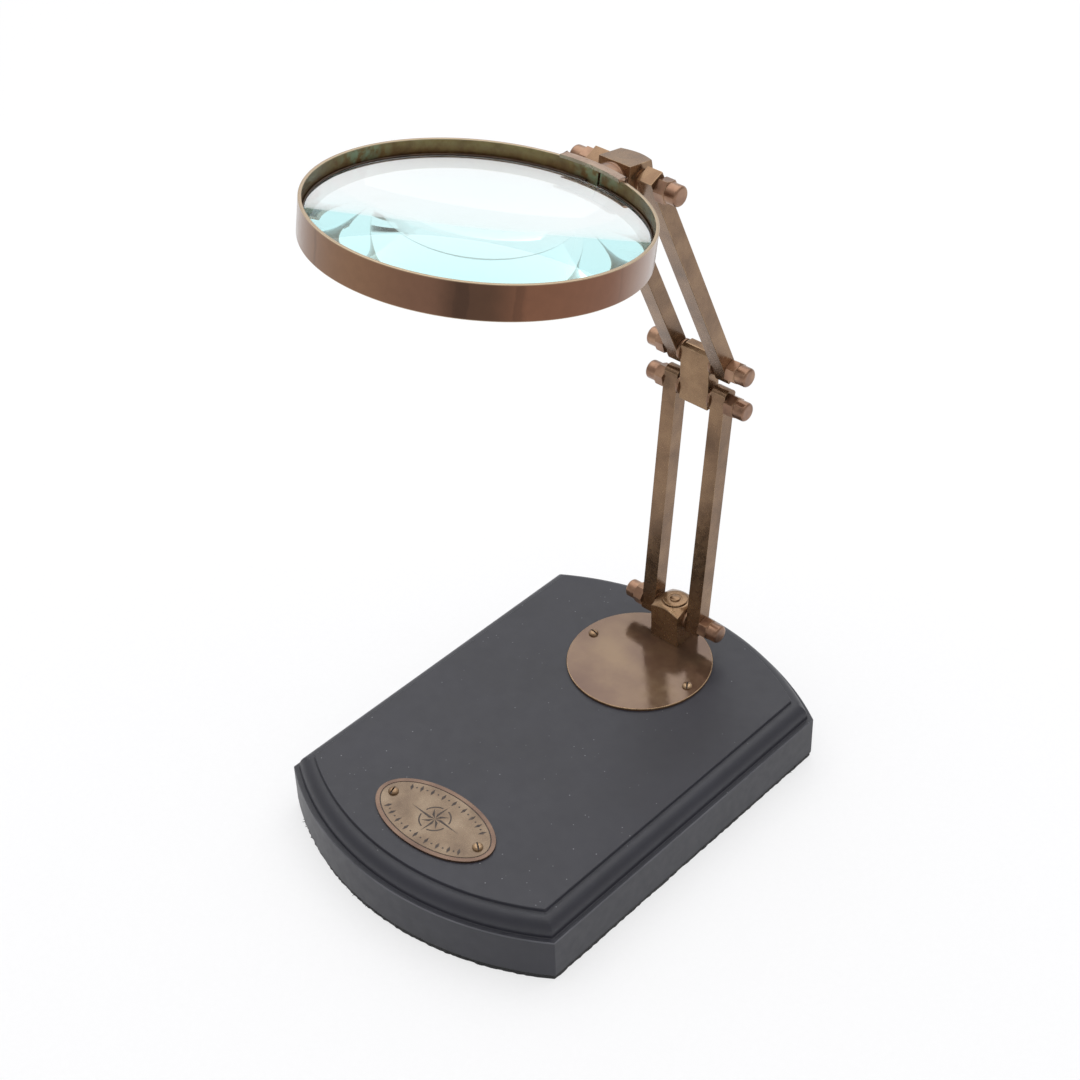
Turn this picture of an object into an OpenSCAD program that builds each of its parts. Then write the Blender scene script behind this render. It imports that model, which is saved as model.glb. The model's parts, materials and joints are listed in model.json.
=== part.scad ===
// Table magnifier: a large biconvex lens in a brass band stands over a moulded wooden base on
// two pairs of flat-sided bars, which fold at the base, at a double elbow and at the lens head.
// Millimetres, +Z up. The origin is the middle of the base's underside.
// The arm folds in the Y-Z plane, so every pin lies along X, and the lens reaches towards -Y.

/* [Base] */
// Width of the base across its straight sides
base_w = 127; // [100:1:170]
// Length of the straight sides
base_straight = 142; // [130:1:180]
// How far each end of the base bows out beyond the straight sides
base_bow = 19.5; // [8:0.5:30]
// Height of the plain slab below the moulding
slab_h = 16.2; // [8:0.2:30]
// Width of the flat ledge at the foot of the moulding
ledge_w = 2; // [0.5:0.1:4]
// Height of the small upright foot under the rounded moulding
round_foot_h = 0.9; // [0.3:0.1:3]
// Radius of the rounded moulding
round_r = 5.5; // [3:0.1:9]
// Height of the sharp step between the rounded moulding and the flat top
step_h = 1.4; // [0.5:0.1:3]
// Thickness of the felt pad under the base
felt_t = 2; // [1:0.1:4]
// How far the felt is cut back inside the slab's outline
felt_inset = 0.4; // [0:0.1:4]

/* [Oval plate] */
// Length of the oval plate
oval_l = 51.6; // [40:0.2:60]
// Width of the oval plate
oval_w = 28; // [22:0.2:34]
// Thickness of the oval plate
oval_t = 0.8; // [0.5:0.1:2]
// Distance of the oval's middle in front of the base's middle
oval_forward = 61.9; // [50:0.1:64]
// Distance between the oval's two screws
oval_screw_gap = 40.8; // [34:0.2:42]

/* [Mounting disc] */
// Diameter of the brass disc under the post
disc_d = 54.8; // [46:0.2:70]
// Thickness of the brass disc
disc_t = 1; // [0.6:0.1:3]
// Distance of the disc's middle behind the base's middle
disc_back = 47.2; // [40:0.1:54]
// Distance between the disc's two screws
disc_screw_gap = 45.8; // [38:0.2:48]
// Bevel round the disc's upper edge
disc_bevel = 0.3; // [0.1:0.1:0.5]

/* [Small screws] */
// Diameter of the round slotted heads
screw_head_d = 3.8; // [3:0.1:5]
// Height of the round slotted heads
screw_head_h = 1.3; // [0.8:0.1:2]
// Diameter of the screw shanks
screw_d = 2; // [1.4:0.1:2.6]
// Length of the screw shanks in the wood
screw_l = 9; // [5:0.5:14]
// Width of the screw slots
slot_w = 0.6; // [0.4:0.1:0.9]
// Depth of the screw slots
slot_depth = 0.6; // [0.3:0.1:0.7]

/* [Post and blocks] */
// Width of the square post, the elbow block and the head block
block_w = 12.8; // [10:0.2:16]
// Distance of the post's middle behind the base's middle
post_back = 67.8; // [62:0.1:70]
// Height of the base pin above the disc
pin_rise = 10.7; // [10.4:0.1:14]
// Height of the square faces above the pin, up to their corners
shoulder_rise = 3.3; // [3:0.1:6]
// Slope of the turned shoulder in degrees
shoulder_slope = 30; // [15:1:45]
// Radius of the raised crown on a turned end
crown_r = 4.9; // [3.5:0.1:5.5]
// Height of the raised crown
crown_h = 0.6; // [0.3:0.1:1.5]
// Radius of the small button in the middle of the crown
button_r = 2.2; // [1:0.1:3]
// Height of the small button
button_h = 0.6; // [0.2:0.1:1.5]
// Width and depth of the fine groove round the crown
crown_groove = 0.3; // [0.1:0.1:0.6]
// Diameter of the screw that holds the post from below
post_screw_d = 4; // [3:0.1:4.5]
// Length of that screw inside the post
post_screw_grip = 7.2; // [5:0.1:7.4]
// Diameter of that screw's head
post_screw_head_d = 8; // [6:0.2:10]
// Height of that screw's head
post_screw_head_h = 3; // [2:0.1:4]
// Depth of the recess for that head under the base
post_screw_recess = 4; // [3.2:0.1:8]

/* [Arm] */
// Distance between the two pins of each pair of bars
bar_span = 95; // [80:1:120]
// Side of the square bars
bar_t = 6; // [5:0.1:7]
// Length of the lower bars below the base pin
foot_end = 3.6; // [3:0.1:5]
// Length of the lower bars above the lower elbow pin, to the top of their domed ends
domed_end = 5.6; // [4.6:0.1:6.5]
// Radius of those domed ends
dome_r = 3.4; // [3.1:0.1:6]
// Length of the upper bars beyond the upper elbow pin and the head pin
square_end = 4.8; // [3:0.1:5]
// Lean of the lower bars towards the back in degrees
lower_lean = 6.7; // [0:0.1:10]
// Lean of the upper bars towards the front in degrees
upper_lean = 24.2; // [18:0.1:30]
// Distance between the two elbow pins
elbow_span = 14.1; // [13.6:0.1:20]
// Depth of the flat elbow block from front to back
elbow_depth = 6; // [5:0.1:8]
// Length of the elbow block below its lower pin and above its upper pin
elbow_end = 4.5; // [3.5:0.1:6]
// Bevel along the elbow block's top edges
elbow_bevel = 1.2; // [0.3:0.1:1.5]
// Lean of the elbow block towards the back in degrees
elbow_lean = 1.4; // [0:0.1:6]

/* [Pins, washers and cap nuts] */
// Diameter of the pins
pin_d = 4; // [3:0.1:4.4]
// Diameter of the spacing washers
washer_d = 8; // [6.5:0.1:9]
// Thickness of the spacing washers
washer_t = 1.2; // [0.8:0.1:2]
// Width across the flats of a cap nut's hexagon
nut_flats = 7.3; // [6:0.1:8.5]
// Length of a cap nut's hexagon
nut_hex_l = 3.9; // [2.5:0.1:5]
// Diameter of a cap nut's round cap
cap_d = 7; // [5.5:0.1:8]
// Length of a cap nut's round cap
cap_l = 4.3; // [3:0.1:6]
// Bevel round the end of a cap nut's round cap
cap_bevel = 1; // [0.3:0.1:1.4]
// Wall left at the end of a cap nut's blind hole
cap_wall = 1.6; // [1:0.1:2.4]

/* [Lens head] */
// Lift of the lens towards the front in degrees
head_tilt = 9.6; // [0:0.1:20]
// Distance from the head pin to the flat front of the head block
head_front = 7.2; // [5:0.1:9]
// Outer radius of the brass band round the lens
ring_r = 52.4; // [46:0.1:54]
// Wall of the brass band
ring_wall = 1.1; // [0.8:0.1:2]
// Height of the brass band
ring_h = 11.2; // [10.8:0.1:16]
// How far the middle of the band lies above the middle of the collar
band_lift = 0.6; // [0:0.1:0.7]
// Turn of the band about the collar, down on the right, in degrees
band_turn = 1.3; // [-5:0.1:5]
// Width of the open seam in the band
seam_w = 0.8; // [0.2:0.1:1.5]
// Turn of that seam from the middle of the band's back, in degrees
seam_turn = 2; // [0:0.5:8]
// Thickness of the saddle plate that grips the band
saddle_t = 1.1; // [0.8:0.1:2]
// Length of the saddle plate across the back of the band
saddle_l = 24; // [16:0.5:32]
// How far the saddle's two lips reach over the band, from its outer face inwards
lip_reach = 2.8; // [1.4:0.1:4]
// Diameter of the round collar between the head block and the saddle
collar_d = 12; // [9:0.1:12.6]
// Length of that collar, along its middle
collar_l = 6.9; // [4:0.1:20]
// Diameter of the stud through the collar
stud_d = 4; // [3:0.1:5]
// Length of the stud inside the head block
stud_grip = 4; // [3:0.1:4.6]

/* [Lens] */
// How far the lens lies below the middle of the band
lens_drop = 0.9; // [0:0.1:1.5]
// Radius of the curve on each face of the lens
lens_curve_r = 215; // [180:1:400]
// Thickness of the lens at its edge
lens_edge_t = 2; // [1.5:0.1:4]
// Thickness of the wire rings that hold the lens in the band
wire_d = 0.8; // [0.6:0.1:1.2]
// Open gap of each wire ring in degrees
wire_gap = 6; // [2:1:20]

/* [Clearances] */
// Play between a pin and the bore of a bar that turns on it, on the radius
pin_play = 0.05; // [0.02:0.01:0.1]
// Play between a fixed screw, pin or stud and its hole, on the radius
hole_play = 0.03; // [0.02:0.01:0.1]
// Play between a bar and the washer or nut beside it
side_play = 0.05; // [0.02:0.01:0.1]
// Play between the lens or the saddle and the band
band_play = 0.05; // [0.02:0.01:0.2]

/* [Hidden] */
$fn = 96;

// Heights
wood_h = slab_h + round_foot_h + round_r + step_h;
base_top = felt_t + wood_h;
disc_top = base_top + disc_t;

// The bowed ends are arcs that meet the straight sides at the base's corners
half_w = base_w / 2;
end_arc_r = (half_w * half_w + base_bow * base_bow) / (2 * base_bow);
end_arc_y = end_arc_r - base_bow - base_straight / 2;
top_inset = ledge_w + round_r;

// Pins, as [y, z]
base_pin_at = [post_back, disc_top + pin_rise];
elbow_lower_at = base_pin_at + bar_span * [sin(lower_lean), cos(lower_lean)];
elbow_upper_at = elbow_lower_at + elbow_span * [sin(elbow_lean), cos(elbow_lean)];
head_pin_at = elbow_upper_at + bar_span * [-sin(upper_lean), cos(upper_lean)];

// Places along a pin, from its middle outwards
washer_x = block_w / 2;
bar_x = washer_x + washer_t + side_play;
nut_x = bar_x + bar_t + side_play;
pin_half_l = nut_x + nut_hex_l + cap_l - cap_wall;

// The turned end of a square block
corner_r = block_w / sqrt(2);
groove_r = crown_r + crown_groove;
groove_rise = (corner_r - groove_r) * tan(shoulder_slope);
button_dome_r = (button_r * button_r + button_h * button_h) / (2 * button_h);
post_h = pin_rise + shoulder_rise;

// Lens and band
ring_inner_r = ring_r - ring_wall;
lens_r = ring_inner_r - band_play;
lens_sag = lens_curve_r - sqrt(lens_curve_r * lens_curve_r - lens_r * lens_r);
lens_half_t = lens_edge_t / 2 + lens_sag;
saddle_inner_r = ring_r + band_play;
saddle_outer_r = saddle_inner_r + saddle_t;
band_reach = head_front + collar_l + saddle_outer_r;
lip_inner_r = ring_r - lip_reach;
lip_z = ring_h / 2;

// A retaining wire lies in the corner between the band and the curved face of the lens
wire_ring_r = ring_inner_r - band_play - wire_d / 2;
wire_to_curve = lens_curve_r + wire_d / 2 + band_play;
wire_z = lens_half_t - lens_curve_r
    + sqrt(wire_to_curve * wire_to_curve - wire_ring_r * wire_ring_r);

brass = "#8a6a50";
dark_brass = "#6f5240";
bright_brass = "#a8845f";
screw_brass = "#a58f5e";
black_wood = "#4a4a4e";
black_felt = "#1c1c1e";
steel = "#8d8f92";
glass = "#c8ecec";

// Shared shapes

// A solid that is cut back by the moulding at each height: the section at height z is
// every point nearer to the axis than reach minus the moulding's inset there.
module moulding_profile(reach) {
    difference() {
        square([reach, wood_h]);
        translate([reach - ledge_w, slab_h])
            square([ledge_w + 1, wood_h]);
        difference() {
            translate([reach - top_inset, slab_h + round_foot_h])
                square([round_r + 1, wood_h]);
            translate([reach - top_inset, slab_h + round_foot_h])
                circle(round_r);
        }
        translate([reach - top_inset, wood_h - step_h])
            square([round_r + 1, step_h + 1]);
    }
    square([reach - top_inset, wood_h]);
}

// The base's outline, drawn in by an even inset
module base_outline(inset) {
    intersection() {
        square([base_w - 2 * inset, 3 * base_straight], center = true);
        translate([0, end_arc_y])
            circle(end_arc_r - inset, $fn = 180);
        translate([0, -end_arc_y])
            circle(end_arc_r - inset, $fn = 180);
    }
}

// An ellipse, from points one step apart round it
module oval(length, width) {
    step = 3;
    polygon([for (turn = [0:step:360 - step]) [length / 2 * cos(turn), width / 2 * sin(turn)]]);
}

// A round slotted screw head on its shank, pointing down, with the plate's top at zero
module round_screw(plate_t) {
    dome_r = (screw_head_d * screw_head_d / 4 + screw_head_h * screw_head_h) / (2 * screw_head_h);
    difference() {
        intersection() {
            translate([0, 0, screw_head_h - dome_r])
                sphere(dome_r);
            cylinder(h = screw_head_h, d = screw_head_d);
        }
        translate([-slot_w / 2, -screw_head_d, screw_head_h - slot_depth])
            cube([slot_w, 2 * screw_head_d, slot_depth + 1]);
    }
    translate([0, 0, -plate_t - screw_l])
        cylinder(h = plate_t + screw_l, d = screw_d);
}

// A square block that stands on zero and ends in a turned shoulder, crown and domed button.
// The height is that of the square's corners.
module turned_block(height) {
    groove_top = height + groove_rise;
    crown_top = groove_top + crown_h;
    intersection() {
        translate([-block_w / 2, -block_w / 2, 0])
            cube([block_w, block_w, 3 * height]);
        rotate_extrude() {
            polygon([
                [0, 0],
                [block_w, 0],
                [block_w, height - (block_w - corner_r) * tan(shoulder_slope)],
                [groove_r, groove_top],
                [groove_r, groove_top - crown_groove],
                [crown_r, groove_top - crown_groove],
                [crown_r, crown_top],
                [0, crown_top]
            ]);
            intersection() {
                translate([0, crown_top + button_h - button_dome_r])
                    circle(button_dome_r);
                square([button_r, crown_top + button_h]);
            }
        }
    }
}

// Puts children at a pin, turned about it
module at_pin(place, angle) {
    translate([0, place[0], place[1]])
        rotate([angle, 0, 0])
            children();
}

// Children that point along +Z are laid along X, outwards on one side
module outwards(side) {
    rotate([0, 90 * side, 0])
        children();
}

module pin_rod() {
    translate([-pin_half_l, 0, 0])
        rotate([0, 90, 0])
            cylinder(h = 2 * pin_half_l, d = pin_d);
}

module pin_bore(play, height) {
    translate([-base_w, 0, height])
        rotate([0, 90, 0])
            cylinder(h = 2 * base_w, r = pin_d / 2 + play);
}

module washer(side) {
    outwards(side)
        translate([0, 0, washer_x])
            difference() {
                cylinder(h = washer_t, d = washer_d);
                translate([0, 0, -1])
                    cylinder(h = washer_t + 2, r = pin_d / 2 + hole_play);
            }
}

module cap_nut(side) {
    outwards(side)
        translate([0, 0, nut_x])
            difference() {
                union() {
                    cylinder(h = nut_hex_l, d = nut_flats / cos(30), $fn = 6);
                    cylinder(h = nut_hex_l + cap_l - cap_bevel, d = cap_d);
                    translate([0, 0, nut_hex_l + cap_l - cap_bevel])
                        cylinder(h = cap_bevel, d1 = cap_d, d2 = cap_d - 2 * cap_bevel);
                }
                translate([0, 0, -1])
                    cylinder(h = nut_hex_l + cap_l - cap_wall + hole_play + 1,
                        r = pin_d / 2 + hole_play);
            }
}

// A square bar from below one pin, at zero, to above the next. The end is flat where its
// radius is zero.
module bar(side, start, end, end_r) {
    bar_top = bar_span + end;
    translate([side > 0 ? bar_x : -bar_x - bar_t, 0, 0])
        difference() {
            union() {
                translate([0, -bar_t / 2, -start])
                    cube([bar_t, bar_t, start + bar_top - end_r]);
                intersection() {
                    translate([0, -bar_t / 2, -start])
                        cube([bar_t, bar_t, start + bar_top]);
                    translate([0, 0, bar_top - end_r])
                        rotate([0, 90, 0])
                            cylinder(h = bar_t, r = end_r);
                }
            }
            for (height = [0, bar_span])
                translate([-1, 0, height])
                    rotate([0, 90, 0])
                        cylinder(h = bar_t + 2, r = pin_d / 2 + pin_play);
        }
}

// Places in the lens head: the head pin is the origin, -Y looks at the lens
module in_head() {
    at_pin(head_pin_at, -head_tilt)
        children();
}

module at_band() {
    in_head()
        rotate([0, band_turn, 0])
            translate([0, -band_reach, band_lift])
                children();
}

// Base

// Everything inside one bowed end: a moulding turned about that end's arc centre
module turned_end(side) {
    translate([0, side * end_arc_y, 0])
        rotate_extrude($fn = 180)
            moulding_profile(end_arc_r);
}

module base_plinth() {
    color(black_wood)
        translate([0, 0, felt_t])
            difference() {
                intersection() {
                    translate([0, base_straight * 1.5, 0])
                        rotate([90, 0, 0])
                            linear_extrude(3 * base_straight)
                                union() {
                                    moulding_profile(half_w);
                                    mirror([1, 0])
                                        moulding_profile(half_w);
                                }
                    turned_end(1);
                    turned_end(-1);
                }
                translate([0, post_back, -1])
                    cylinder(h = wood_h + 2, r = post_screw_d / 2 + hole_play);
                translate([0, post_back, -1])
                    cylinder(h = post_screw_recess + 1, r = post_screw_head_d / 2 + 0.5);
                screw_holes(wood_h);
            }
}

module screw_holes(top) {
    for (side = [-1, 1]) {
        translate([side * oval_screw_gap / 2, -oval_forward, top - screw_l - hole_play])
            cylinder(h = screw_l + 4, r = screw_d / 2 + hole_play);
        translate([side * disc_screw_gap / 2, disc_back, top - screw_l - hole_play])
            cylinder(h = screw_l + 4, r = screw_d / 2 + hole_play);
    }
}

module felt_pad() {
    color(black_felt)
        linear_extrude(felt_t)
            base_outline(felt_inset);
}

module oval_plate() {
    color(bright_brass)
        difference() {
            translate([0, -oval_forward, base_top])
                linear_extrude(oval_t)
                    oval(oval_l, oval_w);
            screw_holes(base_top);
        }
}

module oval_plate_screws() {
    color(screw_brass)
        for (side = [-1, 1])
            translate([side * oval_screw_gap / 2, -oval_forward, base_top + oval_t])
                rotate([0, 0, 35 + 20 * side])
                    round_screw(oval_t);
}

module mounting_disc() {
    color(brass)
        difference() {
            translate([0, disc_back, base_top])
                rotate_extrude()
                    polygon([
                        [0, 0],
                        [disc_d / 2, 0],
                        [disc_d / 2, disc_t - disc_bevel],
                        [disc_d / 2 - disc_bevel, disc_t],
                        [0, disc_t]
                    ]);
            screw_holes(base_top);
            translate([0, post_back, base_top - 1])
                cylinder(h = disc_t + 2, r = post_screw_d / 2 + hole_play);
        }
}

module mounting_disc_screws() {
    color(screw_brass)
        for (side = [-1, 1])
            translate([side * disc_screw_gap / 2, disc_back, disc_top])
                rotate([0, 0, 60 - 25 * side])
                    round_screw(disc_t);
}

module base_post() {
    color(dark_brass)
        difference() {
            translate([0, post_back, disc_top])
                turned_block(post_h);
            at_pin(base_pin_at, 0)
                pin_bore(hole_play, 0);
            translate([0, post_back, disc_top - 1])
                cylinder(h = post_screw_grip + hole_play + 1, r = post_screw_d / 2 + hole_play);
        }
}

module post_screw() {
    color(steel)
        translate([0, post_back, felt_t + post_screw_recess - post_screw_head_h]) {
            cylinder(h = post_screw_head_h, d = post_screw_head_d);
            cylinder(h = disc_top + post_screw_grip - felt_t - post_screw_recess + post_screw_head_h,
                d = post_screw_d);
        }
}

// One module per pin, washer and nut

module base_pin() {
    color(brass) at_pin(base_pin_at, 0) pin_rod();
}

module base_washer_left() {
    color(bright_brass) at_pin(base_pin_at, 0) washer(-1);
}

module base_washer_right() {
    color(bright_brass) at_pin(base_pin_at, 0) washer(1);
}

module base_cap_nut_left() {
    color(brass) at_pin(base_pin_at, 0) cap_nut(-1);
}

module base_cap_nut_right() {
    color(brass) at_pin(base_pin_at, 0) cap_nut(1);
}

module elbow_lower_pin() {
    color(brass) at_pin(elbow_lower_at, -elbow_lean) pin_rod();
}

module elbow_lower_washer_left() {
    color(bright_brass) at_pin(elbow_lower_at, -elbow_lean) washer(-1);
}

module elbow_lower_washer_right() {
    color(bright_brass) at_pin(elbow_lower_at, -elbow_lean) washer(1);
}

module elbow_lower_cap_nut_left() {
    color(brass) at_pin(elbow_lower_at, -elbow_lean) cap_nut(-1);
}

module elbow_lower_cap_nut_right() {
    color(brass) at_pin(elbow_lower_at, -elbow_lean) cap_nut(1);
}

module elbow_upper_pin() {
    color(brass) at_pin(elbow_upper_at, -elbow_lean) pin_rod();
}

module elbow_upper_washer_left() {
    color(bright_brass) at_pin(elbow_upper_at, -elbow_lean) washer(-1);
}

module elbow_upper_washer_right() {
    color(bright_brass) at_pin(elbow_upper_at, -elbow_lean) washer(1);
}

module elbow_upper_cap_nut_left() {
    color(brass) at_pin(elbow_upper_at, -elbow_lean) cap_nut(-1);
}

module elbow_upper_cap_nut_right() {
    color(brass) at_pin(elbow_upper_at, -elbow_lean) cap_nut(1);
}

module head_pin() {
    color(brass) in_head() pin_rod();
}

module head_washer_left() {
    color(bright_brass) in_head() washer(-1);
}

module head_washer_right() {
    color(bright_brass) in_head() washer(1);
}

module head_cap_nut_left() {
    color(brass) in_head() cap_nut(-1);
}

module head_cap_nut_right() {
    color(brass) in_head() cap_nut(1);
}

// Arm

module lower_bar_left() {
    color(brass) at_pin(base_pin_at, -lower_lean) bar(-1, foot_end, domed_end, dome_r);
}

module lower_bar_right() {
    color(brass) at_pin(base_pin_at, -lower_lean) bar(1, foot_end, domed_end, dome_r);
}

module upper_bar_left() {
    color(brass) at_pin(elbow_upper_at, upper_lean) bar(-1, square_end, square_end, 0);
}

module upper_bar_right() {
    color(brass) at_pin(elbow_upper_at, upper_lean) bar(1, square_end, square_end, 0);
}

// A side of the elbow block, with its two top corners bevelled
module elbow_side(width) {
    bottom = -elbow_end;
    top = elbow_span + elbow_end;
    polygon([
        [-width / 2, bottom],
        [width / 2, bottom],
        [width / 2, top - elbow_bevel],
        [width / 2 - elbow_bevel, top],
        [-width / 2 + elbow_bevel, top],
        [-width / 2, top - elbow_bevel]
    ]);
}

module elbow_block() {
    color(bright_brass)
        at_pin(elbow_lower_at, -elbow_lean)
            difference() {
                intersection() {
                    translate([0, elbow_depth / 2, 0])
                        rotate([90, 0, 0])
                            linear_extrude(elbow_depth)
                                elbow_side(block_w);
                    translate([-block_w / 2, 0, 0])
                        rotate([90, 0, 90])
                            linear_extrude(block_w)
                                elbow_side(elbow_depth);
                }
                for (height = [0, elbow_span])
                    pin_bore(hole_play, height);
            }
}

// Lens head

module head_block() {
    color(bright_brass)
        in_head()
            difference() {
                translate([0, -head_front, 0])
                    rotate([-90, 0, 0])
                        turned_block(head_front + shoulder_rise);
                pin_bore(hole_play, 0);
                translate([0, -head_front - 1, 0])
                    rotate([-90, 0, 0])
                        cylinder(h = stud_grip + hole_play + 1, r = stud_d / 2 + hole_play);
            }
}

module neck_collar() {
    color(brass)
        difference() {
            in_head()
                translate([0, -head_front, 0])
                    rotate([90, 0, 0])
                        difference() {
                            cylinder(h = collar_l + saddle_t, d = collar_d);
                            translate([0, 0, -1])
                                cylinder(h = collar_l + saddle_t + 2,
                                    r = stud_d / 2 + hole_play);
                        }
            at_band()
                translate([0, 0, -ring_h])
                    cylinder(h = 2 * ring_h, r = saddle_outer_r, $fn = 180);
        }
}

module neck_stud() {
    color(steel)
        in_head()
            translate([0, -head_front + stud_grip, 0])
                rotate([90, 0, 0])
                    cylinder(h = stud_grip + collar_l + saddle_t, d = stud_d);
}

module ring_saddle() {
    color(bright_brass)
        difference() {
            at_band()
                intersection() {
                    rotate_extrude($fn = 180)
                        difference() {
                            translate([lip_inner_r, -lip_z - saddle_t - band_play])
                                square([saddle_outer_r - lip_inner_r,
                                    2 * (lip_z + saddle_t + band_play)]);
                            translate([lip_inner_r - 1, -lip_z - band_play])
                                square([saddle_inner_r - lip_inner_r + 1,
                                    2 * (lip_z + band_play)]);
                        }
                    translate([-saddle_l / 2, 0, -ring_h])
                        cube([saddle_l, saddle_outer_r + 1, 2 * ring_h]);
                }
            in_head()
                rotate([90, 0, 0])
                    cylinder(h = band_reach, r = stud_d / 2 + hole_play);
        }
}

module lens_ring() {
    color(brass)
        at_band()
            difference() {
                translate([0, 0, -ring_h / 2])
                    cylinder(h = ring_h, r = ring_r, $fn = 180);
                translate([0, 0, -ring_h])
                    cylinder(h = 2 * ring_h, r = ring_inner_r, $fn = 180);
                rotate([0, 0, -seam_turn])
                    translate([-seam_w / 2, 0, -ring_h])
                        cube([seam_w, ring_r + 1, 2 * ring_h]);
            }
}

module magnifying_lens() {
    color(glass)
        at_band()
            translate([0, 0, -lens_drop])
                intersection() {
                    translate([0, 0, lens_half_t - lens_curve_r])
                        sphere(lens_curve_r, $fn = 180);
                    translate([0, 0, lens_curve_r - lens_half_t])
                        sphere(lens_curve_r, $fn = 180);
                    translate([0, 0, -lens_half_t])
                        cylinder(h = 2 * lens_half_t, r = lens_r, $fn = 180);
                }
}

module retaining_wire(side) {
    at_band()
        translate([0, 0, side * wire_z - lens_drop])
            rotate([0, 0, 90 + wire_gap / 2])
                rotate_extrude(angle = 360 - wire_gap, $fn = 180)
                    translate([wire_ring_r, 0])
                        circle(d = wire_d, $fn = 24);
}

module upper_retaining_wire() {
    color(bright_brass) retaining_wire(1);
}

module lower_retaining_wire() {
    color(bright_brass) retaining_wire(-1);
}

base_plinth();
felt_pad();
oval_plate();
oval_plate_screws();
mounting_disc();
mounting_disc_screws();
base_post();
post_screw();
base_pin();
base_washer_left();
base_washer_right();
base_cap_nut_left();
base_cap_nut_right();
lower_bar_left();
lower_bar_right();
elbow_block();
elbow_lower_pin();
elbow_lower_washer_left();
elbow_lower_washer_right();
elbow_lower_cap_nut_left();
elbow_lower_cap_nut_right();
elbow_upper_pin();
elbow_upper_washer_left();
elbow_upper_washer_right();
elbow_upper_cap_nut_left();
elbow_upper_cap_nut_right();
upper_bar_left();
upper_bar_right();
head_block();
head_pin();
head_washer_left();
head_washer_right();
head_cap_nut_left();
head_cap_nut_right();
neck_collar();
neck_stud();
ring_saddle();
lens_ring();
magnifying_lens();
upper_retaining_wire();
lower_retaining_wire();
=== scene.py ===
# %% [markdown]
# # Dressing a table magnifier
# A large lens in a brass band stands over a black wooden base on a folding arm of square brass
# bars. The CAD model already gives every piece its size, its place and its pivots. This lesson
# loads it as a fixed frame, and models each piece again with the eased edges, turned rings and
# worn finishes that a real one has, so that light has something to catch.

# %% Open the frame
import json
import math
import random

import bmesh
import bpy
from mathutils import Matrix, Vector


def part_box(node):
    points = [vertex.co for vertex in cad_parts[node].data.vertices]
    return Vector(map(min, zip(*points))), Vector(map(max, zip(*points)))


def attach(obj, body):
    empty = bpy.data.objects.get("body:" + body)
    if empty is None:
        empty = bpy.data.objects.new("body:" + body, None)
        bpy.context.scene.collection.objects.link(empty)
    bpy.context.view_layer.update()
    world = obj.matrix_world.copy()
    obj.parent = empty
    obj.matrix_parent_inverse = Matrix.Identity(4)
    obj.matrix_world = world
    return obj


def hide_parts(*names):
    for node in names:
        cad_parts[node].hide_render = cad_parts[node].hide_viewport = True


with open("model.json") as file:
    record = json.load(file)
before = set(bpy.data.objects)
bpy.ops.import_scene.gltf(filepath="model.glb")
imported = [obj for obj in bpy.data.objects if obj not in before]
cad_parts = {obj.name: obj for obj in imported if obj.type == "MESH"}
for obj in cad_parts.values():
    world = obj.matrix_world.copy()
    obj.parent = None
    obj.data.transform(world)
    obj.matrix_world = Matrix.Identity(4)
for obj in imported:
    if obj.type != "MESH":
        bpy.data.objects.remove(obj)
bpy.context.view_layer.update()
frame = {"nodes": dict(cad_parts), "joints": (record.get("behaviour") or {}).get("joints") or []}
mm = 0.001
print("CAD nodes:", len(frame["nodes"]))

# %% [markdown]
# ## Where the arm bends
# The four pivots are read from the frame, so this script holds none of their places. Each
# moving part gets a small frame of its own: its origin is on a pin, and its +Z runs along the
# bars. Pieces are modelled upright at the origin, as on a bench, and then put in that frame. The
# band has one more: it sits a little above the head's middle, and is turned a little on its collar.

# %% Pins and leans
pins = {joint["name"]: Vector(joint["pos_m"]) for joint in frame["joints"]}
base_pin = pins["base_pivot"]
elbow_low = pins["elbow_lower_pivot"]
elbow_high = pins["elbow_upper_pivot"]
head_pin = pins["head_pivot"]


def lean(lower, upper):
    """How far the line between two points leans back from upright, in radians."""
    return math.atan2(upper.y - lower.y, upper.z - lower.z)


def frame_at(place, turn):
    """A frame at a place, turned about X."""
    return Matrix.Translation(place) @ Matrix.Rotation(turn, 4, "X")


def middle(node):
    """The middle of a CAD node's box."""
    low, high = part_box(node)
    return (low + high) / 2


band_centre = middle("lens_ring")
to_band = head_pin - band_centre
band_lift = 0.6 * mm
band_turn = math.radians(1.3)
head_tilt = math.atan2(-to_band.z, to_band.y) - math.asin(band_lift / to_band.length)

in_base = frame_at(base_pin, 0)
in_lower_arm = frame_at(base_pin, -lean(base_pin, elbow_low))
in_elbow = frame_at(elbow_low, -lean(elbow_low, elbow_high))
in_elbow_top = frame_at(elbow_high, -lean(elbow_low, elbow_high))
in_upper_arm = frame_at(elbow_high, -lean(elbow_high, head_pin))
in_head = frame_at(head_pin, -head_tilt)
in_band = frame_at(band_centre, -head_tilt) @ Matrix.Rotation(band_turn, 4, "Y")
bar_span = (elbow_low - base_pin).length
elbow_span = (elbow_high - elbow_low).length
print("bars, pin to pin:", round(bar_span / mm, 1), "mm; head tilt:",
      round(math.degrees(head_tilt), 1), "degrees")

# %% [markdown]
# ## Finishes
# The brass here is antiqued: a solid brass piece is browned in a bath, rubbed back and lacquered.
# The colour is uneven, darker where the bath pooled and brighter where cloth and fingers have
# rubbed. So each brass is a metal whose colour comes from slow, cloudy noise, with finer noise in
# its roughness, and a bump that follows how the piece was worked: drawn, turned or rolled.


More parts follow.
